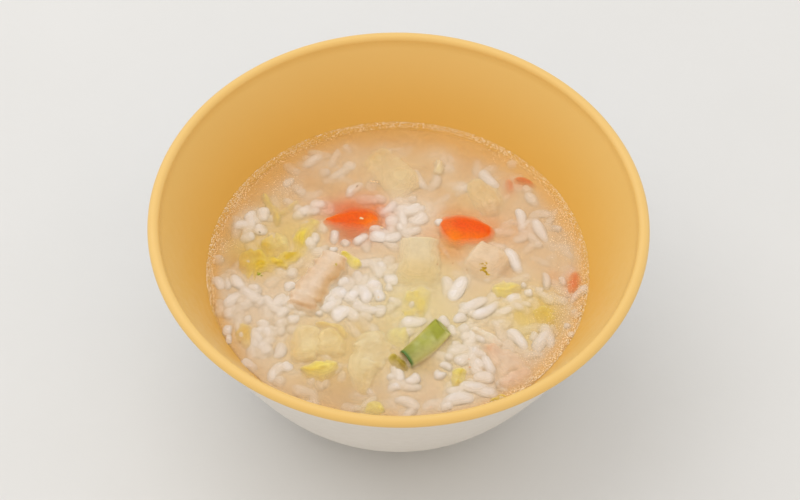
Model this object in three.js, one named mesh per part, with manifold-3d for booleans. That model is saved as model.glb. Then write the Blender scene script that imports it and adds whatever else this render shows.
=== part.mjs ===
// A congee bowl: a two-tone bowl on a foot ring, three fifths full of rice porridge in which
// carrot, chicken, scallion and napa cabbage float.
// Millimetres, +Z up. The origin is on the bowl's axis, on the plane the foot ring stands on.

import * as THREE from 'three';
import { mergeVertices } from 'three/addons/utils/BufferGeometryUtils.js';
import Module from 'manifold-3d';

const wasm = await Module();
wasm.setup();

// ---------------------------------------------------------------- driving dimensions

const RIM_RADIUS = 67.5;
const LIP_WIDTH = 3.2;
const BOWL_HEIGHT = 62;
const SOUP_BELOW_RIM = 21.8;
const SOUP_RADIUS = 53.1;

const FOOT_RADIUS = 30.2;
const FOOT_WIDTH = 2.8;
const FOOT_HEIGHT = 5.4;
const FOOT_FLARE = 0.8;
const FOOT_EDGE = 0.6;
const FLOOR_THICKNESS = 4;
const FLOOR_RADIUS = 26;

// How far each wall curve is drawn inwards, first in its straight upper part and then near the floor,
// and how deep under the rim the upper pull acts.
const OUTER_PULL = [16.6, 20.6];
const INNER_PULL = [6.6, 9.4];
const PULL_DEPTH = 32.5;

const GRAIN_LENGTH = 7.6;
const GRAIN_WIDTH = 3;
const GRAIN_THICKNESS = 2.6;
const GRAIN_SINK = 0.35;
// How much the grains differ in size, as a share, and in tip and heading, in radians.
const GRAIN_SPREAD = 0.3;
const GRAIN_TIP = 0.2;
const GRAIN_TURN = 0.9;

// Room left between a piece and the soup or piece beside it.
const GAP = 0.3;

const BOWL_SIDES = 64;
const WALL_STEPS = 9;
const LIP_STEPS = 4;
const CORE_STEPS = 12;
const GRAIN_SIDES = 5;
const GRAIN_RINGS = 4;
const PIECE_STEP = 2.4;

// Rice is laid by a repeatable draw: its seed, how often a drift tries for a free place, how near
// two grains may lie as a share of their width, how near a topping as a share of half their length,
// and in how many places along a topping that is looked at.
const RICE_SEED = 7;
const RICE_TRIES = 40;
const CROWDED_SHARE = 0.9;
const NEAREST_SHARE = 0.8;
const LOOKS_ALONG = 12;

// ---------------------------------------------------------------- worked-out sizes

const LIP_RADIUS = LIP_WIDTH / 2;
// The widest circle of the bowl, half a lip below its top.
const RIM_PLANE = BOWL_HEIGHT - LIP_RADIUS;
const SOUP_LEVEL = RIM_PLANE - SOUP_BELOW_RIM;
const MOUTH_RADIUS = RIM_RADIUS - LIP_WIDTH;
const FLOOR_LEVEL = FOOT_HEIGHT + FLOOR_THICKNESS;

const TAU = 2 * Math.PI;

// The outside of the wall: nearly straight from the rim, then rounding in to the foot.
const OUTER_WALL = new THREE.CubicBezierCurve(
  new THREE.Vector2(RIM_RADIUS, RIM_PLANE),
  new THREE.Vector2(RIM_RADIUS - OUTER_PULL[0], RIM_PLANE - PULL_DEPTH),
  new THREE.Vector2(RIM_RADIUS - OUTER_PULL[1], FOOT_HEIGHT),
  new THREE.Vector2(FOOT_RADIUS + FOOT_FLARE, FOOT_HEIGHT),
);

// The inside of the wall, from the lip to the flat of the floor. It passes SOUP_RADIUS at SOUP_LEVEL.
const INNER_WALL = new THREE.CubicBezierCurve(
  new THREE.Vector2(MOUTH_RADIUS, RIM_PLANE),
  new THREE.Vector2(SOUP_RADIUS - INNER_PULL[0], RIM_PLANE - PULL_DEPTH),
  new THREE.Vector2(SOUP_RADIUS - INNER_PULL[1], FLOOR_LEVEL),
  new THREE.Vector2(FLOOR_RADIUS, FLOOR_LEVEL),
);

// ---------------------------------------------------------------- materials

const food = (colour, roughness = 0.45) =>
  new THREE.MeshStandardMaterial({ color: colour, roughness, metalness: 0 });

const LOOKS = {
  bowl: food('#e8b765', 0.35),
  congee: food('#e3cbb2', 0.3),
  carrot: food('#f4661a'),
  chicken: food('#e8caa6', 0.55),
  scallion: food('#a9b447'),
  leaf: food('#e2cf74'),
  stem: food('#e5d39b'),
  olive: food('#c8ac36'),
};

// ---------------------------------------------------------------- pieces in the soup

// Each piece follows a spine of [x, y, width] stations. `top` is how far its upper face stands over
// the soup, `thick` its thickness, `crown` the rise of its middle, `taper` the width of its underside
// as a share of its upper face, `wave` and `waves` the height and count of its ripples along the
// spine, and `frill` the share by which its edges go in and out.
const BLOCK = { top: 0.5, thick: 4, crown: 0.5, taper: 0.8, wave: 0, waves: 2, frill: 0, across: 3 };
const SHEET = { top: -0.1, thick: 0.7, crown: 0, taper: 1, wave: 0.25, waves: 1.5, frill: 0, across: 3 };

const PIECES = [
  {
    name: 'carrot_left', look: 'carrot', ...BLOCK, crown: 1.3, top: -0.4, thick: 4.6, across: 4,
    spine: [[-20.7, 16.2, 1.4], [-17.6, 16.6, 6.5], [-13.2, 17.2, 10.6], [-8.8, 17.4, 10], [-5.7, 16.8, 4]],
  },
  {
    name: 'carrot_right', look: 'carrot', ...BLOCK, crown: 0.7, thick: 5, across: 4,
    spine: [[12.2, 13.4, 3.6], [14.6, 14.3, 9.2], [18, 14.5, 10], [22.3, 13.8, 7.8], [26.1, 13.2, 4]],
  },
  {
    name: 'chicken_left', look: 'chicken', ...BLOCK,
    top: 1, crown: 0.9, thick: 7, wave: 0.25, waves: 4.5, frill: 0.07,
    spine: [[-18, 4.2, 5.2], [-20, 0.3, 6.8], [-23.1, -5.4, 6.6], [-25.6, -10.6, 7.3], [-27, -13.6, 6]],
  },
  {
    name: 'chicken_right', look: 'chicken', ...BLOCK, top: 0.3, crown: 0.6, thick: 6, wave: 0.2,
    spine: [[20.4, 5.6, 8.6], [24.7, 2.8, 9.2], [29, 0.1, 8]],
  },
  {
    name: 'chicken_shred', look: 'chicken', ...BLOCK, top: 0.3, crown: 0.3, thick: 1.8, wave: 0.2,
    spine: [[20.2, -20.4, 2.6], [24.4, -22.6, 3], [28.2, -25.4, 2]],
  },
  {
    name: 'chicken_low', look: 'chicken', ...BLOCK, top: 0.1, crown: 0.6, thick: 6, wave: 0.3, frill: 0.06,
    spine: [[24, -25.8, 3.4], [27.6, -28.9, 7.4], [31, -32.4, 10.6], [33, -35.6, 9.6]],
  },
  {
    name: 'napa_curl', look: 'leaf', ...SHEET, top: 0.3, wave: 0.35, waves: 3.5, across: 2,
    spine: [
      [-23.3, 16.9, 3], [-26, 13.1, 3.1], [-28, 5.6, 2.5], [-31.9, 1.9, 3],
      [-35.8, 0.9, 3.4], [-39.4, 1.2, 6.8], [-44.1, 1, 3.6],
    ],
  },
  {
    name: 'napa_leaf', look: 'leaf', ...SHEET,
    spine: [[-30.8, 8.2, 5.6], [-34.6, 7.4, 7.2], [-38.3, 7.6, 4]],
  },
  {
    name: 'leaf_shred', look: 'leaf', ...SHEET, top: 0.2, across: 2,
    spine: [[-15.9, 5, 1.4], [-13.6, 3.4, 2.2], [-11.9, 1.2, 2.6], [-10.9, -0.4, 1.8]],
  },
  {
    name: 'stem_low_left', look: 'stem', ...BLOCK, top: 0, thick: 3, wave: 0.15,
    spine: [[-24.1, -19.6, 4.6], [-24.8, -24.2, 6.4], [-24.9, -28.6, 6.4], [-24.4, -31, 4]],
  },
  {
    name: 'stem_low_right', look: 'stem', ...BLOCK, top: 0, thick: 3, wave: 0.15,
    spine: [[-18.9, -20.6, 3.4], [-17.8, -24.4, 5.4], [-17.7, -29, 5.6]],
  },
  {
    name: 'leaf_tip', look: 'leaf', ...SHEET, top: 0.2, thick: 1.4, wave: 0.3, waves: 2,
    spine: [[-25.2, -34.4, 2.2], [-22.2, -34.9, 5], [-18.9, -34.3, 5.6], [-15.9, -33, 2.4]],
  },
  {
    name: 'leaf_pale', look: 'stem', ...SHEET, thick: 1.2, waves: 2,
    spine: [[-7.2, -21.9, 5.6], [-6.6, -27.6, 9.8], [-8.8, -33.8, 7.4], [-9, -42, 2.2]],
  },
  {
    name: 'stem_centre', look: 'stem', ...BLOCK, top: -0.1, thick: 3.4, crown: 0.6, across: 4,
    spine: [[5.8, 10.6, 10.2], [6, 5, 10.9], [5.8, -0.2, 11.4], [5.2, -5.2, 11.4]],
  },
  {
    name: 'leaf_centre', look: 'leaf', ...SHEET,
    spine: [[0.9, -10.4, 4], [4.4, -11.1, 7.4], [8.8, -11.7, 6.8]],
  },
  {
    name: 'scallion_leaf', look: 'stem', ...SHEET,
    spine: [[-2.6, -21.4, 4], [0.3, -22.9, 7], [3.4, -23.4, 6.6]],
  },
  {
    name: 'olive_leaf', look: 'olive', ...SHEET, across: 2,
    spine: [[-1.6, -29.4, 1.8], [-0.2, -31.4, 2.6], [1.8, -34.4, 1.6]],
  },
  {
    name: 'leaf_right', look: 'leaf', ...SHEET,
    spine: [[26.1, -7.1, 3], [29.9, -7, 5.6], [34, -5.6, 2.4]],
  },
  {
    name: 'leaf_far_right', look: 'leaf', ...SHEET, across: 2,
    spine: [[39.3, -11.6, 3.6], [40.3, -15.2, 4.4], [41.5, -18.5, 2.6]],
  },
  {
    name: 'leaf_front', look: 'leaf', ...SHEET, across: 2,
    spine: [[17.4, -33.5, 3.4], [16.6, -36.5, 3], [15.8, -39.4, 1.9]],
  },
  {
    name: 'leaf_top', look: 'stem', ...SHEET, thick: 1.2, across: 4,
    spine: [[-8.1, 42, 8], [-3.9, 37, 9.4], [3.2, 28, 11]],
  },
  {
    name: 'leaf_top_right', look: 'stem', ...SHEET,
    spine: [[22.2, 33.2, 2.4], [22.9, 29.9, 5], [25.5, 24.9, 6.2], [27.4, 20.4, 3.6]],
  },
  {
    name: 'flake_top', look: 'stem', ...BLOCK, top: 0, thick: 1.6, across: 2,
    spine: [[11.3, 39, 3.5], [11.3, 34.4, 2]],
  },
];

const RIPPLE_SLANT = 1.3;
const FRILLS = 5.5;
const FRILL_LAG = 2;

// The scallion: a flattened tube from its dark end [x, y] to its slanting cut end.
const SCALLION = {
  from: [3.4, -31.2],
  to: [11.9, -20.9],
  width: 6.4,
  height: 4.6,
  wall: 0.8,
  top: 1.1,
  slant: 2.2,
  sides: 14,
};

// Where the rice gathers: [x, y, reach, grains, heading in degrees].
const DRIFTS = [
  [-41.5, 15, 5.5, 6, 40], [-25, 19, 3, 2, 10], [-27, 36, 3, 2, 40], [-14, 32, 4, 2, 60],
  [-2, 18, 4.5, 5, 60], [6, 17.5, 3.5, 4, 80], [-6, 10.5, 6, 4, 15], [-17.5, 10, 2, 2, 85],
  [26, 32.5, 2, 2, -50], [35.5, 31, 6, 2, -40], [37, 16, 4, 3, -75], [33.5, 3.4, 2, 1, -65],
  [44, -3, 4, 3, 80], [48, -10, 3, 2, 40], [33, -11.5, 4.5, 4, 15], [-46.5, -1, 4.5, 4, 75],
  [-42, -8, 4, 4, -60], [-34, -12, 4, 5, 45], [-29.5, -18, 3.5, 4, 30], [-37, -22, 4.5, 5, -55],
  [-45.5, -24, 2.5, 2, -70], [-35, -29, 4, 5, 70], [-31, -35, 4, 4, -45], [-39.5, -32.5, 3, 2, 20],
  [-12, -3, 3, 2, 40], [-14, -10.5, 5, 8, 25], [-17.5, -16, 4, 4, 35], [-7, -9, 5, 8, 60],
  [-2.5, -3, 4, 5, 80], [-9, -16, 4, 3, 10], [3.5, -18, 2.5, 2, -5], [16, -7, 4, 4, 65],
  [22, -13.5, 5, 7, 35], [15, -18, 3.5, 3, -55], [18.5, -23, 3.5, 4, 25], [32.5, -19, 3, 2, -50],
  [40, -24, 3, 2, 50], [19, -30.5, 3.5, 4, 20], [22.5, -34, 3, 3, -50], [12, -34, 3, 3, -20],
  [21, -40, 4, 3, -5], [14, -43, 4, 3, 5], [1, -37, 3.5, 3, 75], [6, -36, 2.5, 2, 40],
];

// ---------------------------------------------------------------- geometry helpers

// A repeatable run of numbers from 0 to 1.
function makeRandom(seed) {
  let state = seed;
  return () => {
    state = (state * 1664525 + 1013904223) % 4294967296;
    return state / 4294967296;
  };
}

function meshGeometry(positions, triangles) {
  const geometry = new THREE.BufferGeometry();
  geometry.setAttribute('position', new THREE.Float32BufferAttribute(positions, 3));
  geometry.setIndex(triangles);
  return geometry;
}

// Turns a [radius, height] outline about the bowl's axis. It runs from the axis back to the axis.
function revolve(outline, sides) {
  const points = outline.map(([radius, height]) => new THREE.Vector2(radius, height));
  return new THREE.LatheGeometry(points, sides).rotateX(Math.PI / 2);
}

// A solid for joining and cutting: vertices are shared and triangles that collapse are dropped.
function solidFrom(geometry) {
  const bare = geometry.clone();
  bare.deleteAttribute('normal');
  bare.deleteAttribute('uv');
  const merged = mergeVertices(bare, 1e-4);
  const corners = Array.from(merged.index.array);
  const kept = [];
  for (let i = 0; i < corners.length; i += 3) {
    const [a, b, c] = corners.slice(i, i + 3);
    if (a !== b && b !== c && c !== a) {
      kept.push(a, b, c);
    }
  }
  const vertProperties = Float32Array.from(merged.attributes.position.array);
  const triVerts = Uint32Array.from(kept);
  return new wasm.Manifold(new wasm.Mesh({ numProp: 3, vertProperties, triVerts }));
}

function geometryFrom(solid) {
  const { vertProperties, triVerts } = solid.getMesh();
  const geometry = meshGeometry(Array.from(vertProperties), Array.from(triVerts));
  geometry.computeVertexNormals();
  return geometry;
}

// A closed slab over a grid. place(u, v, face) gives a point of its underside (face 0) or top (face 1).
// Both faces are split into triangles alike.
function slab(along, across, place) {
  const positions = [];
  const triangles = [];
  const row = across + 1;
  const faceSize = (along + 1) * row;
  for (let face = 0; face <= 1; face += 1) {
    for (let i = 0; i <= along; i += 1) {
      for (let j = 0; j <= across; j += 1) {
        positions.push(...place(i / along, j / across, face));
      }
    }
  }
  const at = (i, j, face) => face * faceSize + i * row + j;
  const quad = (a, b, c, d) => triangles.push(a, b, c, a, c, d);
  for (let i = 0; i < along; i += 1) {
    for (let j = 0; j < across; j += 1) {
      quad(at(i, j, 1), at(i + 1, j, 1), at(i + 1, j + 1, 1), at(i, j + 1, 1));
      quad(at(i, j, 0), at(i, j + 1, 0), at(i + 1, j + 1, 0), at(i + 1, j, 0));
    }
    quad(at(i, 0, 0), at(i + 1, 0, 0), at(i + 1, 0, 1), at(i, 0, 1));
    quad(at(i, across, 0), at(i, across, 1), at(i + 1, across, 1), at(i + 1, across, 0));
  }
  for (let j = 0; j < across; j += 1) {
    quad(at(0, j, 0), at(0, j, 1), at(0, j + 1, 1), at(0, j + 1, 0));
    quad(at(along, j, 0), at(along, j + 1, 0), at(along, j + 1, 1), at(along, j, 1));
  }
  return meshGeometry(positions, triangles);
}

// A smooth run through [x, y, width] stations: the place, the sideways direction and the width at u.
function spineOf(stations) {
  const points = stations.map((station) => new THREE.Vector3(...station));
  const curve = new THREE.CatmullRomCurve3(points, false, 'centripetal');
  return (u) => {
    const place = curve.getPoint(u);
    const ahead = curve.getTangent(u);
    const forward = new THREE.Vector2(ahead.x, ahead.y).normalize();
    const side = new THREE.Vector2(-forward.y, forward.x);
    return { x: place.x, y: place.y, width: place.z, forward, side };
  };
}

// How many steps the length of a spine is cut into.
function stepsAlong(stations) {
  let length = 0;
  for (let i = 1; i < stations.length; i += 1) {
    length += Math.hypot(stations[i][0] - stations[i - 1][0], stations[i][1] - stations[i - 1][1]);
  }
  return Math.max(3, Math.round(length / PIECE_STEP));
}

// ---------------------------------------------------------------- the bowl

function makeBowl() {
  const foot = [
    [0, FOOT_HEIGHT],
    [FOOT_RADIUS - FOOT_WIDTH - FOOT_EDGE, FOOT_HEIGHT],
    [FOOT_RADIUS - FOOT_WIDTH, FOOT_EDGE],
    [FOOT_RADIUS - FOOT_WIDTH + FOOT_EDGE, 0],
    [FOOT_RADIUS - FOOT_EDGE, 0],
    [FOOT_RADIUS, FOOT_EDGE],
  ];
  const outside = OUTER_WALL.getPoints(WALL_STEPS).reverse().map((p) => [p.x, p.y]);
  const lip = [];
  for (let i = 1; i < LIP_STEPS; i += 1) {
    const angle = (Math.PI * i) / LIP_STEPS;
    const across = LIP_RADIUS * (1 - Math.cos(angle));
    lip.push([RIM_RADIUS - across, RIM_PLANE + LIP_RADIUS * Math.sin(angle)]);
  }
  const inside = INNER_WALL.getPoints(WALL_STEPS).map((p) => [p.x, p.y]);
  return solidFrom(revolve([...foot, ...outside, ...lip, ...inside, [0, FLOOR_LEVEL]], BOWL_SIDES));
}

// ---------------------------------------------------------------- toppings

// How a ripple lifts the piece at u along it and s across it, from -1 to 1.
const ripple = (piece, u, s) => piece.wave * Math.sin(TAU * piece.waves * u + RIPPLE_SLANT * s);

// How far out its edge stands there, the two edges out of step.
const frillAt = (piece, u, s) => 1 + piece.frill * Math.sin(TAU * FRILLS * u + (s > 0 ? FRILL_LAG : 0));

function makePiece(piece) {
  const spine = spineOf(piece.spine);
  const along = stepsAlong(piece.spine);
  const place = (u, v, face) => {
    const { x, y, width, side } = spine(u);
    const s = 2 * v - 1;
    const reach = (width / 2) * s * (face ? 1 : piece.taper) * frillAt(piece, u, s);
    const upper = SOUP_LEVEL + piece.top + piece.crown * (1 - s * s) + ripple(piece, u, s);
    const lower = piece.taper < 1 ? SOUP_LEVEL + piece.top - piece.thick : upper - piece.thick;
    return [x + side.x * reach, y + side.y * reach, face ? upper : lower];
  };
  return solidFrom(slab(along, piece.across, place));
}

// The room a piece takes out of what lies beside it: its outline and the gap, open upwards.
function makeRoom(piece) {
  const spine = spineOf(piece.spine);
  const along = stepsAlong(piece.spine);
  const bottom = SOUP_LEVEL + piece.top - piece.thick - piece.wave - GAP;
  const place = (u, v, face) => {
    const { x, y, width, forward, side } = spine(u);
    const s = 2 * v - 1;
    const reach = (width / 2) * s * frillAt(piece, u, s) + Math.sign(s) * GAP;
    const shift = (u === 1 ? GAP : 0) - (u === 0 ? GAP : 0);
    return [
      x + side.x * reach + forward.x * shift,
      y + side.y * reach + forward.y * shift,
      face ? BOWL_HEIGHT : bottom,
    ];
  };
  return solidFrom(slab(along, 2, place));
}

// A tube along X from 0 to `length`, flattened to `width` by `height`, its far end cut on a slant.
function flatTube(length, width, height, slant, sides) {
  const tube = new THREE.CylinderGeometry(1, 1, 1, sides).rotateZ(-Math.PI / 2).translate(0.5, 0, 0);
  const place = tube.attributes.position;
  for (let i = 0; i < place.count; i += 1) {
    const x = place.getX(i);
    const z = place.getZ(i);
    place.setXYZ(i, x * (length - slant * (1 + z) / 2), (place.getY(i) * width) / 2, (z * height) / 2);
  }
  return tube;
}

// Lays a shape made along X from the scallion's dark end towards its cut end.
function layScallion(geometry) {
  const { from, to, height, top } = SCALLION;
  const heading = Math.atan2(to[1] - from[1], to[0] - from[0]);
  return geometry.rotateZ(heading).translate(from[0], from[1], SOUP_LEVEL + top - height / 2);
}

function scallionLength() {
  const { from, to } = SCALLION;
  return Math.hypot(to[0] - from[0], to[1] - from[1]);
}

function makeScallion() {
  const { width, height, wall, slant, sides } = SCALLION;
  const length = scallionLength();
  const outer = flatTube(length, width, height, slant, sides);
  const hole = flatTube(length + 2, width - 2 * wall, height - 2 * wall, 0, sides).translate(-1, 0, 0);
  return solidFrom(layScallion(outer)).subtract(solidFrom(layScallion(hole)));
}

function makeScallionRoom() {
  const length = scallionLength();
  const room = new THREE.BoxGeometry(length + 2 * GAP, SCALLION.width + 2 * GAP, BOWL_HEIGHT);
  room.translate(length / 2, 0, BOWL_HEIGHT / 2 - SCALLION.height / 2 - GAP);
  return solidFrom(layScallion(room));
}

// ---------------------------------------------------------------- the congee

// The porridge itself: it fills the bowl to SOUP_LEVEL, a gap inside the wall.
function makeCore() {
  const wall = INNER_WALL.getPoints(CORE_STEPS).reverse();
  const sunk = wall.filter((point) => point.y < SOUP_LEVEL - 1);
  const outline = [[0, FLOOR_LEVEL + GAP], ...sunk.map((point) => [point.x - GAP, point.y + GAP])];
  outline.push([SOUP_RADIUS - GAP, SOUP_LEVEL], [0, SOUP_LEVEL]);
  return solidFrom(revolve(outline, BOWL_SIDES));
}

// True where a grain at x, y would come too near the wall or a topping.
function isTaken(x, y) {
  const reach = GRAIN_LENGTH / 2;
  if (Math.hypot(x, y) > SOUP_RADIUS - reach) {
    return true;
  }
  const { from, to, width } = SCALLION;
  const spines = [[[...from, width], [...to, width]], ...PIECES.map((piece) => piece.spine)];
  return spines.some((stations) => {
    const spine = spineOf(stations);
    for (let step = 0; step <= LOOKS_ALONG; step += 1) {
      const near = spine(step / LOOKS_ALONG);
      if (Math.hypot(near.x - x, near.y - y) < near.width / 2 + reach * NEAREST_SHARE) {
        return true;
      }
    }
    return false;
  });
}

function makeGrain(x, y, heading, random) {
  const size = 1 + GRAIN_SPREAD * (random() - 0.5);
  const grain = new THREE.SphereGeometry(size / 2, GRAIN_SIDES, GRAIN_RINGS).rotateZ(-Math.PI / 2);
  grain.scale(GRAIN_LENGTH, GRAIN_WIDTH, GRAIN_THICKNESS);
  grain.rotateY(GRAIN_TIP * (random() - 0.5)).rotateZ(heading);
  return solidFrom(grain.translate(x, y, SOUP_LEVEL - GRAIN_SINK * random()));
}

// Grains gather in drifts, each turned roughly along its drift and apart from the others.
function makeGrains() {
  const random = makeRandom(RICE_SEED);
  const placed = [];
  const grains = [];
  for (const [x, y, reach, count, degrees] of DRIFTS) {
    for (let tries = 0, done = 0; done < count && tries < RICE_TRIES; tries += 1) {
      const angle = TAU * random();
      const distance = reach * Math.sqrt(random());
      const at = [x + distance * Math.cos(angle), y + distance * Math.sin(angle)];
      const heading = THREE.MathUtils.degToRad(degrees) + GRAIN_TURN * (random() - 0.5);
      const apart = (other) => Math.hypot(other[0] - at[0], other[1] - at[1]);
      const crowded = placed.some((other) => apart(other) < GRAIN_WIDTH * CROWDED_SHARE);
      if (!crowded && !isTaken(...at)) {
        placed.push(at);
        grains.push(makeGrain(...at, heading, random));
        done += 1;
      }
    }
  }
  return grains;
}

// ---------------------------------------------------------------- the whole

const part = new THREE.Group();

function addNode(name, look, solid) {
  const mesh = new THREE.Mesh(geometryFrom(solid), LOOKS[look]);
  mesh.name = name;
  part.add(mesh);
}

addNode('bowl', 'bowl', makeBowl());

// Each piece is cut round those laid before it, and the congee round them all.
const rooms = [makeScallionRoom()];
addNode('scallion', 'scallion', makeScallion());
const cutRound = (solid) => rooms.reduce((rest, room) => rest.subtract(room), solid);
for (const piece of PIECES) {
  addNode(piece.name, piece.look, cutRound(makePiece(piece)));
  rooms.push(makeRoom(piece));
}

const heap = makeGrains().reduce((joined, grain) => joined.add(grain), makeCore());
addNode('congee', 'congee', cutRound(heap));

export default part;
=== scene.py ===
"""A bowl of rice congee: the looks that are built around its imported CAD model.

Lengths are in millimetres in this file and become metres where a mesh is made. The frame is the CAD
model's: +Z up, the origin on the bowl's axis, on the plane that the foot ring stands on.
"""

import math
from dataclasses import dataclass

import bpy
import numpy as np
from mathutils import Matrix, Vector


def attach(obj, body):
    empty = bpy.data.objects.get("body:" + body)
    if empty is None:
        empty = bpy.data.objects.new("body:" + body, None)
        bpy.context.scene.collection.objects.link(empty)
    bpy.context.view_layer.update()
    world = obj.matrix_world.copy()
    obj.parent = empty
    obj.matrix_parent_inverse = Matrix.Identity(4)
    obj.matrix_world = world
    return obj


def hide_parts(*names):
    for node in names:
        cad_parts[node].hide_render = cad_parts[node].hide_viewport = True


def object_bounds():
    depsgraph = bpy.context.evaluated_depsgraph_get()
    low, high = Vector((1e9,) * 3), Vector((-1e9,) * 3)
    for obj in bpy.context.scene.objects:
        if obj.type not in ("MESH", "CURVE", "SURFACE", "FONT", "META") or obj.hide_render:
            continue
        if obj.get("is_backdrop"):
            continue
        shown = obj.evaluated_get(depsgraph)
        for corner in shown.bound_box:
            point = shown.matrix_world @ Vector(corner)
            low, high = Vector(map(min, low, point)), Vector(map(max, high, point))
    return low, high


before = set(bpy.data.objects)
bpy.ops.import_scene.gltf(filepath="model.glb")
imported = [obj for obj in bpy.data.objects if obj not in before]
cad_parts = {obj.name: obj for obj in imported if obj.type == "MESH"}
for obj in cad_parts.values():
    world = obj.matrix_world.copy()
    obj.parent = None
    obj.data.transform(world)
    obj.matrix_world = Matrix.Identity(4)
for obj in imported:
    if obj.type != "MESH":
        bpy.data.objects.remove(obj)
cad_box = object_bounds()

# ---------------------------------------------------------------- dimensions, as in the CAD model

MM = 0.001

RIM_RADIUS = 67.5
LIP_WIDTH = 3.2
BOWL_HEIGHT = 62.0
SOUP_BELOW_RIM = 21.8
SOUP_RADIUS = 53.1

FOOT_RADIUS = 30.2
FOOT_WIDTH = 2.8
FOOT_HEIGHT = 5.4
FOOT_FLARE = 0.8
FOOT_EDGE = 0.6
FLOOR_THICKNESS = 4.0
FLOOR_RADIUS = 26.0
OUTER_PULL = (16.6, 20.6)
INNER_PULL = (6.6, 9.4)
PULL_DEPTH = 32.5

LIP_RADIUS = LIP_WIDTH / 2
RIM_PLANE = BOWL_HEIGHT - LIP_RADIUS
SOUP_LEVEL = RIM_PLANE - SOUP_BELOW_RIM
MOUTH_RADIUS = RIM_RADIUS - LIP_WIDTH
FLOOR_LEVEL = FOOT_HEIGHT + FLOOR_THICKNESS

TAU = 2 * math.pi

# ---------------------------------------------------------------- the photograph's view

PHOTO_SIZE = (800, 500)
SENSOR_WIDTH = 36.0
LENS = 100.262
# The eye, seen from the middle of the rim's plane, and the point in that plane that it looks at.
EYE_RANGE = 600.0
EYE_ELEVATION = math.radians(51.3818)
EYE = np.array([0, -math.cos(EYE_ELEVATION), math.sin(EYE_ELEVATION)]) * EYE_RANGE + [0, 0, RIM_PLANE]
AIM = np.array([0.467, -11.148, RIM_PLANE])
ROLL = 0.01798
# How many of the photograph's pixels a millimetre of the soup's surface takes, across and down.
PIXELS_ACROSS = 3.61
PIXELS_DOWN = 2.87


def view_axes():
    """The view's forward, right and up directions."""
    forward = (AIM - EYE) / np.linalg.norm(AIM - EYE)
    right = np.cross(forward, [0, 0, 1])
    right /= np.linalg.norm(right)
    up = np.cross(right, forward)
    turned_right = right * math.cos(ROLL) + up * math.sin(ROLL)
    turned_up = up * math.cos(ROLL) - right * math.sin(ROLL)
    return forward, turned_right, turned_up


FORWARD, RIGHT, UP = view_axes()


def on_soup(pixel_x, pixel_y, depth=0.0):
    """The x and y of the point `depth` under the soup's surface that the photograph shows at a pixel."""
    focal = LENS / SENSOR_WIDTH * PHOTO_SIZE[0]
    along_right = (pixel_x - PHOTO_SIZE[0] / 2) / focal
    along_up = (PHOTO_SIZE[1] / 2 - pixel_y) / focal
    ray = FORWARD + RIGHT * along_right + UP * along_up
    reach = (SOUP_LEVEL - depth - EYE[2]) / ray[2]
    return (EYE + ray * reach)[:2]


def make_camera():
    data = bpy.data.cameras.new("camera")
    data.sensor_width = SENSOR_WIDTH
    data.lens = LENS
    data.clip_start = 0.01
    camera = bpy.data.objects.new("camera", data)
    bpy.context.scene.collection.objects.link(camera)
    axes = Matrix((RIGHT, UP, -FORWARD)).transposed().to_4x4()
    axes.translation = Vector(EYE * MM)
    camera.matrix_world = axes
    bpy.context.scene.camera = camera


# ---------------------------------------------------------------- colours


def linear(code):
    """Linear red, green and blue of an sRGB hex code."""
    channels = np.array([int(code[i : i + 2], 16) for i in (0, 2, 4)]) / 255
    return np.where(channels <= 0.04045, channels / 12.92, ((channels + 0.055) / 1.055) ** 2.4)


def rgba(code):
    return (*linear(code), 1.0)


# The light on the soup beside plain white: brighter than the table's, and warmed by the yellow wall.
SOUP_LIGHT = np.array([1.11, 1.02, 0.91])
BRIGHTEST = 0.93


def food(code):
    """The colour that food must have of itself to look like `code` in the bowl."""
    return np.minimum(linear(code) / SOUP_LIGHT, BRIGHTEST)


def smoothstep(low, high, value):
    share = np.clip((value - low) / (high - low), 0, 1)
    return share * share * (3 - 2 * share)


def mix(first, second, share):
    """Blends colours (or rows of colours) by a share from 0 to 1."""
    share = np.asarray(share)[..., None]
    return first * (1 - share) + second * share


def between(lattice, u, v):
    """Smooth values between the numbers of a square lattice, which repeats past its edges."""
    i, j = np.floor(u).astype(int), np.floor(v).astype(int)
    fu, fv = smoothstep(0, 1, u - i), smoothstep(0, 1, v - j)

    def corner(a, b):
        return lattice[(i + a) % len(lattice), (j + b) % len(lattice)]

    low = corner(0, 0) * (1 - fu) + corner(1, 0) * fu
    high = corner(0, 1) * (1 - fu) + corner(1, 1) * fu
    return low * (1 - fv) + high * fv


LATTICE = 61


def noise(x, y, size, seed):
    """Smooth noise from -1 to 1 whose bumps are about `size` across."""
    lattice = np.random.default_rng(seed).uniform(-1, 1, (LATTICE, LATTICE))
    return between(lattice, np.asarray(x) / size, np.asarray(y) / size)


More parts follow.
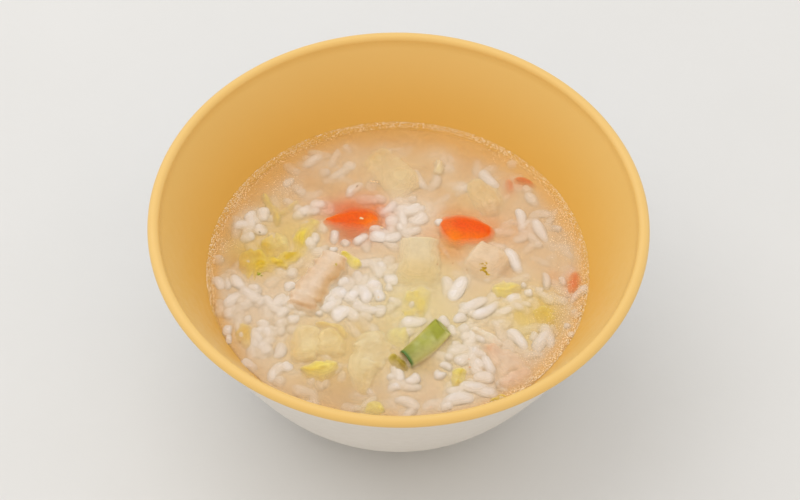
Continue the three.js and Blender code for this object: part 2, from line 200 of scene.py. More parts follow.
# Stains that sunk food leaves in the broth, and painted shadows beside the chicken strip and near the front:
# the photograph's pixel at the middle, the reach across and down in pixels, the colour and the strength.
STAINS_AND_PAINTED_SHADOWS = [
    (256, 216, 26, 20, "dcc0a0", 0.5),
    (232, 288, 24, 26, "dabb98", 0.5),
    (262, 312, 40, 34, "dcc2a4", 0.7),
    (262, 350, 24, 24, "dfc5a6", 0.6),
    (348, 292, 52, 32, "dfcdb6", 0.75),
    (406, 212, 30, 22, "e3cab0", 0.8),
    (372, 236, 32, 12, "e0c4a8", 0.5),
    (470, 310, 56, 28, "dec6a4", 0.6),
    (466, 352, 34, 30, "dfc8aa", 0.6),
    (462, 390, 50, 20, "dec2a0", 0.6),
    (530, 222, 40, 40, "dab488", 0.5),
    (548, 280, 28, 26, "dcb78c", 0.5),
    (352, 208, 34, 13, "de6c3e", 0.9),
    (366, 196, 18, 10, "dc8a5c", 0.5),
    (352, 234, 22, 9, "cc7f58", 0.7),
    (383, 222, 12, 9, "e2a080", 0.5),
    (448, 248, 20, 14, "dc9448", 0.75),
    (468, 213, 26, 9, "e28c4c", 0.7),
    (375, 210, 13, 12, "e0804a", 0.8),
    (349, 233, 15, 6, "d48a60", 0.8),
    (410, 366, 12, 6, "ac9850", 0.4),
    (428, 364, 12, 8, "c4a468", 0.5),
    (374, 226, 9, 6, "e08850", 0.8),
    (326, 182, 12, 8, "d2a878", 0.6),
    (245, 332, 9, 8, "dcb060", 0.8),
    (557, 328, 8, 9, "dca858", 0.7),
    # painted shadow beside the chicken strip's right side
    (350, 272, 13, 12, "d6b48a", 0.7),
    (302, 270, 9, 9, "d4b080", 0.6),
    (228, 232, 12, 10, "d09c58", 0.7),
    (257, 198, 12, 8, "d6a464", 0.7),
    (420, 381, 8, 7, "d2b892", 0.6),
    (491, 224, 9, 8, "ec8038", 0.6),
    (432, 230, 12, 10, "e2b08c", 0.4),
    (524, 180, 12, 6, "e08850", 0.7),
    (510, 185, 7, 9, "e0966c", 0.5),
    (575, 283, 11, 13, "e58445", 0.8),
    (553, 275, 7, 8, "dfa070", 0.5),
    (256, 252, 32, 22, "d8b254", 0.85),
    (292, 232, 28, 26, "dcbc70", 0.7),
    (270, 205, 16, 18, "dabb80", 0.4),
    (395, 168, 42, 26, "dcb886", 0.7),
    (478, 196, 24, 20, "ddba84", 0.5),
    (418, 288, 40, 34, "e0ca96", 0.8),
    (405, 325, 34, 34, "dfc98e", 0.7),
    (366, 350, 30, 36, "d9bd84", 0.7),
    (325, 345, 44, 36, "dcbb7a", 0.7),
    (520, 305, 40, 24, "e0c074", 0.8),
    (540, 310, 20, 16, "dfb95c", 0.8),
    (450, 330, 24, 26, "e0c88e", 0.6),
    (466, 232, 34, 12, "e09c5c", 0.5),
    (505, 228, 30, 16, "dea878", 0.6),
    (330, 376, 22, 12, "d8b070", 0.5),
    (525, 330, 12, 18, "e0c878", 0.5),
    (457, 378, 14, 16, "e0c47e", 0.6),
    # painted warm shade near the front of the soup
    (350, 395, 44, 18, "cfab7c", 0.7),
    (372, 408, 12, 9, "e2c878", 0.5),
    (505, 268, 10, 8, "d0a478", 0.6),
    (515, 368, 34, 22, "deb892", 0.6),
    (236, 262, 12, 12, "cc9a5c", 0.6),
    (442, 268, 18, 12, "dcbc84", 0.5),
    (300, 165, 20, 10, "d5a876", 0.4),
]


# The clear broth's colours at the back and at the front, in its pale and its dark drifts, and around rice.
BROTH_BACK, BROTH_FRONT = "d8aa76", "ddb88c"
DRIFT_PALE, DRIFT_DARK = "e0c5a2", "d2a474"
AROUND_RICE = "e1ceb4"
# The amber broth near the wall, at the left and at the right: where it starts at the back, how much further
# out it starts at the front, where it is full, and how much it wanders.
AMBER_LEFT, AMBER_RIGHT = "dea961", "e4b06a"
AMBER_FROM = 42
AMBER_LATER = 6
AMBER_FULL = 51.5
AMBER_WANDER = 0.8
# The middle and the reach of the stretch of the edge, at the near left, that has hardly any amber.
PALER_EDGE = (-30, -38)
PALER_EDGE_REACH = 18
# How sharply a stain or a painted shadow ends.
STAIN_AND_SHADOW_POWER = 2.4
# What the broth's colours are multiplied by, as the pale surface lightens them.
BROTH_SHADE = (0.985, 0.965, 0.91)


def broth_colour(x, y):
    """The colour of the clouded broth at x, y: drifts, stains, painted shadows, white around rice, amber near
    the wall.
    """
    colour = mix(food(BROTH_BACK), food(BROTH_FRONT), smoothstep(38, -8, y))
    drift = 0.6 * noise(x, y, 13, 3) + 0.4 * noise(x, y, 5, 4)
    colour = mix(colour, food(DRIFT_PALE), np.clip(drift, 0, 1) * 0.7)
    colour = mix(colour, food(DRIFT_DARK), np.clip(-drift, 0, 1) * 0.6)
    near_rice = between(RICE_MAP, x / RICE_CELL + RICE_CELLS, y / RICE_CELL + RICE_CELLS)
    colour = mix(colour, food(AROUND_RICE), 0.55 * near_rice)
    for pixel_x, pixel_y, across, down, code, strength in STAINS_AND_PAINTED_SHADOWS:
        middle = on_soup(pixel_x, pixel_y)
        away = np.hypot((x - middle[0]) * PIXELS_ACROSS / across, (y - middle[1]) * PIXELS_DOWN / down)
        colour = mix(colour, food(code), strength * np.exp(-(away**STAIN_AND_SHADOW_POWER)))
    radius = np.hypot(x, y) + AMBER_WANDER * noise(x, y, 9, 5)
    amber = mix(food(AMBER_LEFT), food(AMBER_RIGHT), smoothstep(-20, 40, x))
    amber_from = AMBER_FROM + AMBER_LATER * smoothstep(38, 8, y)
    paler_edge = np.exp(-(np.hypot(x - PALER_EDGE[0], y - PALER_EDGE[1]) ** 2) / PALER_EDGE_REACH**2)
    strength = smoothstep(amber_from, AMBER_FULL, radius) * (1 - 0.85 * paler_edge)
    return mix(colour, amber, strength) * BROTH_SHADE


# ---------------------------------------------------------------- meshes


def add_object(name, points, faces, material, **colours):
    """A smooth-shaded mesh from points in millimetres. Each of `colours` has a row for each point."""
    mesh = bpy.data.meshes.new(name)
    mesh.from_pydata((np.asarray(points) * MM).tolist(), [], [list(face) for face in faces])
    mesh.shade_smooth()
    for label, rows in colours.items():
        attribute = mesh.attributes.new(label, "FLOAT_COLOR", "POINT")
        padded = np.concatenate([rows, np.ones((len(rows), 1))], axis=1)
        attribute.data.foreach_set("color", padded.astype(np.float32).ravel())
    mesh.materials.append(material)
    piece = bpy.data.objects.new(name, mesh)
    bpy.context.scene.collection.objects.link(piece)
    return piece


def add_piece(name, points, faces, material, slot, replaces=(), **colours):
    piece = add_object(name, points, faces, material, **colours)
    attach(piece, "root")
    if replaces:
        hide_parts(*replaces)
    return piece


def pass_light(piece):
    """Keeps what lies in the broth from casting shadows there, as the broth scatters light around it."""
    piece.visible_shadow = False
    piece.visible_diffuse = False


def ring_faces(rings, sides):
    """Faces between rings of points that are numbered ring by ring."""
    faces = []
    for i in range(rings - 1):
        for j in range(sides):
            a, b = i * sides + j, i * sides + (j + 1) % sides
            faces.append((a, b, b + sides, a + sides))
    return faces


def close_rings(rings, first, last):
    """Points and faces of a skin over rings of points (rings, sides, 3), closed by two end points."""
    count, sides = rings.shape[:2]
    points = np.concatenate([rings.reshape(-1, 3), [first], [last]])
    low, high = count * sides, count * sides + 1
    faces = ring_faces(count, sides)
    top = (count - 1) * sides
    for j in range(sides):
        after = (j + 1) % sides
        faces.append((low, after, j))
        faces.append((high, top + j, top + after))
    return points, faces


def revolve(outline, sides):
    """Turns an outline of [radius, height] about the axis. Its first and last points are on the axis."""
    outline = np.asarray(outline, float)
    angle = np.linspace(0, TAU, sides, endpoint=False)
    radius, height = outline[1:-1, 0][:, None], outline[1:-1, 1][:, None]
    level = np.broadcast_to(height, (len(height), sides))
    rings = np.stack([radius * np.cos(angle), radius * np.sin(angle), level], axis=-1)
    return close_rings(rings, (0, 0, outline[0, 1]), (0, 0, outline[-1, 1]))


def join(bodies):
    """Joins the points and the faces of many small bodies, and gives the number of each point's body."""
    all_faces, start = [], 0
    for points, faces in bodies:
        all_faces.extend(tuple(start + i for i in face) for face in faces)
        start += len(points)
    owner = np.repeat(np.arange(len(bodies)), [len(points) for points, _ in bodies])
    return np.concatenate([points for points, _ in bodies]), all_faces, owner


def bezier(points, steps):
    """Points along a cubic curve through four control points."""
    t = np.linspace(0, 1, steps + 1)[:, None]
    a, b, c, d = np.array(points, float)
    return (1 - t) ** 3 * a + 3 * (1 - t) ** 2 * t * b + 3 * (1 - t) * t**2 * c + t**3 * d


def rounded(outline, steps=4):
    """A polyline with each inner corner cut into a small curve a third of the way along its sides."""
    outline = np.array(outline, float)
    result = [outline[0]]
    for before, corner, after in zip(outline, outline[1:], outline[2:]):
        start = corner + (before - corner) / 3
        end = corner + (after - corner) / 3
        for t in np.linspace(0, 1, steps):
            result.append((1 - t) ** 2 * start + 2 * (1 - t) * t * corner + t**2 * end)
    result.append(outline[-1])
    return np.array(result)


# ---------------------------------------------------------------- materials


class Nodes:
    """The node tree of a new material or world, with short calls for what this file builds often."""

    def __init__(self, name, kind="materials", shader="Principled BSDF"):
        self.owner = getattr(bpy.data, kind).new(name)
        self.owner.use_nodes = True
        self.tree = self.owner.node_tree
        self.shader = self.tree.nodes[shader]

    def add(self, kind, inputs=None, **settings):
        node = self.tree.nodes.new(kind)
        for key, value in settings.items():
            setattr(node, key, value)
        for key, value in (inputs or {}).items():
            self.put(node.inputs[key], value)
        return node

    def put(self, socket, value):
        """Links an output to a socket, or sets the socket's own value."""
        if isinstance(value, bpy.types.NodeSocket):
            self.tree.links.new(value, socket)
        else:
            socket.default_value = value

    def set(self, **inputs):
        """Sets the shader's inputs, named with _ for each space."""
        for label, value in inputs.items():
            self.put(self.shader.inputs[label.replace("_", " ")], value)

    def math(self, operation, first, second=0.0):
        return self.add("ShaderNodeMath", {0: first, 1: second}, operation=operation).outputs[0]

    def blend(self, share, first, second, how="MIX"):
        node = self.add("ShaderNodeMix", data_type="RGBA", blend_type=how)
        self.put(node.inputs["Factor"], share)
        self.put(node.inputs[6], first)
        self.put(node.inputs[7], second)
        return node.outputs[2]

    def ramp(self, value, low, high):
        """A smooth step from 0 at `low` to 1 at `high`."""
        node = self.add("ShaderNodeMapRange", {"Value": value, "From Min": low, "From Max": high})
        node.interpolation_type = "SMOOTHSTEP"
        return node.outputs["Result"]

    def place(self):
        return self.add("ShaderNodeTexCoord").outputs["Object"]

    def split(self, vector):
        return self.add("ShaderNodeSeparateXYZ", {0: vector}).outputs

    def noise(self, size, detail=2.0, roughness=0.5):
        """Noise from 0 to 1 whose bumps are about `size` millimetres across."""
        inputs = {"Vector": self.place(), "Scale": 1 / (size * MM), "Detail": detail, "Roughness": roughness}
        return self.add("ShaderNodeTexNoise", inputs).outputs["Fac"]

    def attribute(self, name):
        return self.add("ShaderNodeAttribute", attribute_name=name).outputs["Color"]

    def bump(self, value, depth, normal=None):
        """Bumps of `depth` millimetres from a value from 0 to 1."""
        node = self.add("ShaderNodeBump", {"Height": value, "Distance": depth * MM})
        if normal is not None:
            self.put(node.inputs["Normal"], normal)
        return node.outputs["Normal"]


# The depths at which the broth hides two thirds of the colour and of the shape of what lies in it.
COLOUR_DEPTH = 1.7
SHAPE_DEPTH = 0.35
WET_SPECULAR = 0.2
# How much more of the green and of the blue than of the red a dark fleck takes away.
FLECK_WARMTH = (1, 1.1, 1.3)
# Each look's material, its roughness, the size and the strength of its flecks, the size and the depth of its
# bumps, and how far light scatters inside it.
FOODS = {
    "carrot": ("carrot_flesh", 0.55, 0.7, 0.12, 0.6, 0.12, 0.4),
    "chicken": ("chicken_flesh", 0.5, 1.6, 0.08, 0.8, 0.12, 0.8),
    "leaf": ("cabbage_leaf", 0.5, 1.2, 0.1, 0.9, 0.12, 0.5),
    "stem": ("cabbage_stem", 0.5, 1.6, 0.07, 1.0, 0.1, 1.0),
    "olive": ("olive_scrap", 0.5, 0.8, 0.2, 0.7, 0.1, 0.3),
    "scallion": ("scallion_skin", 0.35, 1.4, 0.12, 0.8, 0.05, 0.4),
    "rice": ("rice_grains", 0.45, 1.5, 0.05, 0.9, 0.06, 0),
}


def food_material(name, roughness, fleck_size, fleck_strength, bump_size, bump_depth, scatter):
    """Food in clouded broth, which takes on the broth's colour and loses its shading with its depth."""
    nodes = Nodes(name)
    own = nodes.attribute("own")
    shade = (*(1 - fleck_strength * warmth for warmth in FLECK_WARMTH), 1)
    darker = nodes.blend(1.0, own, shade, "MULTIPLY")
    own = nodes.blend(nodes.ramp(nodes.noise(fleck_size, detail=3), 0.35, 0.7), own, darker)
    depth = nodes.math("MAXIMUM", nodes.math("SUBTRACT", SOUP_LEVEL * MM, nodes.split(nodes.place())["Z"]))
    clear, shaped = (
        nodes.math("EXPONENT", nodes.math("MULTIPLY", depth, -1 / (reach * MM)))
        for reach in (COLOUR_DEPTH, SHAPE_DEPTH)
    )
    level = nodes.add("ShaderNodeMix", {"Factor": shaped, 4: (0, 0, 1)}, data_type="VECTOR")
    nodes.put(level.inputs[5], nodes.add("ShaderNodeNewGeometry").outputs["Normal"])
    flattened = nodes.add("ShaderNodeVectorMath", {0: level.outputs[1]}, operation="NORMALIZE").outputs[0]
    nodes.set(
        Base_Color=nodes.blend(clear, nodes.attribute("tint"), own),
        Roughness=roughness,
        Specular_IOR_Level=WET_SPECULAR,
        Normal=nodes.bump(nodes.noise(bump_size, detail=3), bump_depth, flattened),
    )
    if scatter:
        nodes.set(Subsurface_Weight=1.0, Subsurface_Radius=(1.0, 1.0, 1.0), Subsurface_Scale=scatter * MM)
    return nodes.owner


# ---------------------------------------------------------------- the bowl

BOWL_SIDES = 256
WALL_STEPS = 60
LIP_STEPS = 16
# How far under its widest circle the yellow of the lip ends, and how far over the foot's top all yellow does.
YELLOW_BELOW_RIM = 0.4
YELLOW_OVER_FOOT = 0.2
# How far a surface inside faces upwards for it to count as the floor.
FACING_UP = 0.7
# The yellow low in the bowl, more saturated as painted bounce light, and near the rim, paler as a painted
# sheen.
YELLOW_LOW_PAINTED_BOUNCE = ("deaf52", "e0b358")
YELLOW_HIGH_PAINTED_SHEEN = ("deb768", "e0ba6e")
OFF_WHITE = ("dcd8d2", "d8d3cc")


def inner_wall(steps):
    """The inside of the wall as [radius, height], from the lip to the flat of the floor."""
    return bezier(
        [
            (MOUTH_RADIUS, RIM_PLANE),
            (SOUP_RADIUS - INNER_PULL[0], RIM_PLANE - PULL_DEPTH),
            (SOUP_RADIUS - INNER_PULL[1], FLOOR_LEVEL),
            (FLOOR_RADIUS, FLOOR_LEVEL),
        ],
        steps,
    )


def outer_wall(steps):
    """The outside of the wall as [radius, height], from the foot to the lip."""
    return bezier(
        [
            (FOOT_RADIUS + FOOT_FLARE, FOOT_HEIGHT),
            (RIM_RADIUS - OUTER_PULL[1], FOOT_HEIGHT),
            (RIM_RADIUS - OUTER_PULL[0], RIM_PLANE - PULL_DEPTH),
            (RIM_RADIUS, RIM_PLANE),
        ],
        steps,
    )


def bowl_outline():
    inside_foot = FOOT_RADIUS - FOOT_WIDTH
    foot = rounded(
        [
            (0, FOOT_HEIGHT),
            (inside_foot - FOOT_EDGE, FOOT_HEIGHT),
            (inside_foot, FOOT_EDGE),
            (inside_foot + FOOT_EDGE, 0),
            (FOOT_RADIUS - FOOT_EDGE, 0),
            (FOOT_RADIUS, FOOT_EDGE),
            (FOOT_RADIUS + FOOT_FLARE, FOOT_HEIGHT),
        ]
    )[:-1]
    turn = np.linspace(0, math.pi, LIP_STEPS + 1)[1:-1]
    across = RIM_RADIUS - LIP_RADIUS * (1 - np.cos(turn))
    lip = np.stack([across, RIM_PLANE + LIP_RADIUS * np.sin(turn)], axis=1)
    return np.concatenate([foot, outer_wall(WALL_STEPS), lip, inner_wall(WALL_STEPS), [(0, FLOOR_LEVEL)]])


def bowl_material():
    """Yellow where the bowl faces its axis and on its lip, and off-white outside and underneath. The yellow
    is more saturated towards the soup and paler towards the rim: painted bounce light and painted sheen.
    """
    nodes = Nodes("bowl_plastic")
    x, y, z = nodes.split(nodes.place())
    across, along, upwards = nodes.split(nodes.add("ShaderNodeTexCoord").outputs["Normal"])
    outwards = nodes.math("ADD", nodes.math("MULTIPLY", across, x), nodes.math("MULTIPLY", along, y))
    inside = nodes.math("LESS_THAN", outwards, 0.0)
    lip = nodes.math("GREATER_THAN", z, (RIM_PLANE - YELLOW_BELOW_RIM) * MM)
    floor = nodes.math("GREATER_THAN", upwards, FACING_UP)
    facing = nodes.math("MAXIMUM", nodes.math("MAXIMUM", inside, lip), floor)
    over_foot = nodes.math("GREATER_THAN", z, (FOOT_HEIGHT + YELLOW_OVER_FOOT) * MM)
    cloud = nodes.noise(30)
    tones = (YELLOW_LOW_PAINTED_BOUNCE, YELLOW_HIGH_PAINTED_SHEEN, OFF_WHITE)
    deep, pale, outside = (nodes.blend(cloud, *map(rgba, pair)) for pair in tones)
    # painted bounce light low down and painted sheen towards the rim
    yellow = nodes.blend(nodes.ramp(z, SOUP_LEVEL * MM, RIM_PLANE * MM), deep, pale)
    nodes.set(
        Base_Color=nodes.blend(nodes.math("MULTIPLY", facing, over_foot), outside, yellow),
        Roughness=nodes.ramp(nodes.noise(2.5, detail=4), -1.2, 2.6),
        Normal=nodes.bump(nodes.noise(9), 0.02),
    )
    return nodes.owner


def make_bowl():
    add_piece("bowl_shell", *revolve(bowl_outline(), BOWL_SIDES), bowl_material(), "bowl", ["bowl"])


# ---------------------------------------------------------------- the broth

# How far the core's top lies under the soup's level, and how far it keeps from the bowl.
CORE_DEPTH = 2.3
WALL_GAP = 0.03
CORE_RINGS = 130
CORE_SIDES = 500
# The height and the size of the swellings on its top.
CORE_SWELLS = ((0.35, 4), (0.2, 1.8))
CORE_SHADE = (0.93, 0.91, 0.88, 1)


def wall_radius(height, steps):
    """The inside wall's radius at a height, for a wall drawn in so many steps."""
    wall = inner_wall(steps)[::-1]
    return np.interp(height, wall[:, 1], wall[:, 0])


def core_material():
    nodes = Nodes("congee_broth")
    tint = nodes.attribute("tint")
    darker = nodes.blend(1.0, tint, CORE_SHADE, "MULTIPLY")
    nodes.set(
        Base_Color=nodes.blend(nodes.ramp(nodes.noise(1.6, detail=4), 0.4, 0.75), tint, darker),
        Roughness=0.5,
        Normal=nodes.bump(nodes.noise(1.2, detail=3), 0.1),
    )
    return nodes.owner


def make_core():
    """The congee's own body: clouded broth down to the bowl's floor, a little under the surface."""
    level = SOUP_LEVEL - CORE_DEPTH
    below = [(r - WALL_GAP, z + WALL_GAP) for r, z in inner_wall(40)[::-1] if z < level - 0.5]
    edge = wall_radius(level, 40) - WALL_GAP
    surface = [(edge * (1 - i / CORE_RINGS), level) for i in range(CORE_RINGS + 1)]
    points, faces = revolve([(0, FLOOR_LEVEL + WALL_GAP), *below, *surface], CORE_SIDES)
    x, y, z = points.T
    swell = sum(height * noise(x, y, size, 11 + i) for i, (height, size) in enumerate(CORE_SWELLS))
    points[:, 2] += np.where(z > level - 0.01, swell * smoothstep(edge, edge - 3, np.hypot(x, y)), 0)
    add_piece("congee_core", points, faces, core_material(), "congee", ["congee"], tint=broth_colour(x, y))


# How far the broth creeps up the wall, and how quickly that is over further in.
MENISCUS = 0.12
MENISCUS_REACH = 0.9
FILM_RINGS = 60
FILM_SIDES = 300
FILM_DEPTH = 5.0
FILM_INTO_WALL = 0.3
# The share of what lies below that the film hides.
FILM_SHARE = 0.08
WATER_IOR = 1.33


def let_through(nodes, share):
    """Makes a material clear but for `share` of it."""
    clear = nodes.add("ShaderNodeBsdfTransparent")
    both = nodes.add("ShaderNodeMixShader", {0: share, 1: clear.outputs[0], 2: nodes.shader.outputs[0]})
    nodes.put(nodes.tree.nodes["Material Output"].inputs["Surface"], both.outputs[0])
    return nodes.owner


def film_material():
    nodes = Nodes("congee_film")
    bump = nodes.bump(nodes.noise(3.5, detail=3), 0.05)
    nodes.set(Base_Color=nodes.attribute("tint"), Roughness=0.22, IOR=WATER_IOR, Normal=bump)
    return let_through(nodes, FILM_SHARE)


def surface_rise(radius):
    """How far the broth creeps up towards the wall at a radius."""
    return MENISCUS * np.exp(-(SOUP_RADIUS + FILM_INTO_WALL - radius) / MENISCUS_REACH)


def make_film():
    """The clear upper layer of the broth, which creeps up the wall at its edge."""
    low, high = SOUP_LEVEL - FILM_DEPTH, SOUP_LEVEL + MENISCUS
    side = [(r + FILM_INTO_WALL, z) for r, z in inner_wall(80)[::-1] if low <= z <= high]
    radii = side[-1][0] * (1 - np.arange(FILM_RINGS + 1) / FILM_RINGS)
    surface = [(radius, SOUP_LEVEL + min(surface_rise(radius), MENISCUS)) for radius in radii]
    points, faces = revolve([(0, low), *side, *surface], FILM_SIDES)
    tint = broth_colour(*points.T[:2])
    pass_light(add_piece("congee_surface", points, faces, film_material(), "congee", ["congee"], tint=tint))


# The broth between the surface and the core, as thin clouded layers: the depths of each one's upper and
# lower face, and the share of what lies below that a face hides.
CLOUDS = [(0.2, 0.5, 0.1), (0.8, 1.1, 0.16), (1.5, 2.0, 0.2)]
CLOUD_RINGS = 72
CLOUD_SIDES = 260
CLOUD_GAP = 0.05
CLOUD_SWELL = 0.22
# How far in from the wall a layer starts to thin out.
CLOUD_FADE = 2.0


def cloud_material(name, share):
    nodes = Nodes(name)
    drift = nodes.ramp(nodes.noise(5, detail=4), 0.1, 0.9)
    nodes.set(Base_Color=nodes.attribute("tint"), Roughness=0.9, Specular_IOR_Level=0.0)
    return let_through(nodes, nodes.math("MULTIPLY", drift, 2 * share))


def make_clouds():
    for number, (upper, lower, share) in enumerate(CLOUDS, 1):
        name = f"congee_cloud_{number}"
        edge = wall_radius(SOUP_LEVEL - lower, 80) - CLOUD_GAP
        inwards = np.append(edge * (1 - np.arange(CLOUD_RINGS) / CLOUD_RINGS), 0)
        outwards = inwards[::-1]
        thick = (lower - upper) * smoothstep(edge + 0.1, edge - CLOUD_FADE, outwards)
        under = [(radius, SOUP_LEVEL - upper - step) for radius, step in zip(outwards, thick)]
        over = [(radius, SOUP_LEVEL - upper) for radius in inwards]
        points, faces = revolve([*under, *over], CLOUD_SIDES)
        x, y, _ = points.T
        swell = CLOUD_SWELL * noise(x, y, 1.8, 60 + number)
        points[:, 2] += swell * smoothstep(edge, edge - 2, np.hypot(x, y))
        material = cloud_material(name, share)
        pass_light(add_piece(name, points, faces, material, "congee", ["congee"], tint=broth_colour(x, y)))


# ---------------------------------------------------------------- the pieces in the soup


@dataclass
class Piece:
    """Food along a spine of (x, y, width) stations, nearly as its CAD solid has it.

    Places on it are u, from 0 at its start to 1 at its end, and s, from -1 at its right to 1 at its left.
    """

    name: str
    look: str
    tones: list  # its colours, as (u, s, code)
    spine: list
    top: float = 0.5  # how far its top lies over the soup's level
    thick: float = 4.0
    crown: float = 0.5  # how much higher its middle is than its edges
    taper: float = 0.8  # its width underneath beside its width on top
    wave: float = 0.0  # the height of the waves along it
    waves: float = 2.0  # how many there are
    frill: float = 0.0  # how far its edges swing in and out
    square: float = 3.4  # how boxy its cross-section is
    cap: float = 0.9  # the length over which an end rounds off
    dips: tuple = (0, 0, 0, 0)  # how far its left edge, right edge, start and end sink into the broth
    rough: float = 0.1  # the height of its small bumps
    streak: tuple = (0.1, 1.0)  # the strength and the width of its fibres or veins
    ragged: float = 0.04  # how uneven its outline is
    sag: float = 0.0  # how far parts of it sink
    fold: float = 0.0  # the height of a fold along it
    widened: float = 1.0  # how much wider than its solid it is, where its edges are lost in the broth


SHEET = dict(
    top=-0.1, thick=0.7, crown=0.0, taper=1.0, wave=0.25, waves=1.5, square=2.6, cap=1.2,
    dips=(0.5, 0.5, 0.6, 0.6), rough=0.16, streak=(0.6, 0.8), ragged=0.2, sag=0.7, fold=0.15,
)
LOW_STEM = dict(
    top=-0.4, thick=3.0, crown=0.1, wave=0.1, square=5.0, cap=0.8,
    rough=0.2, streak=(0.5, 1.0), ragged=0.1, sag=0.3,
)


def sheet(name, look, tones, spine, **own):
    """A flat leaf, with some values of its own."""
    return Piece(name, look, tones, spine, **{**SHEET, **own})


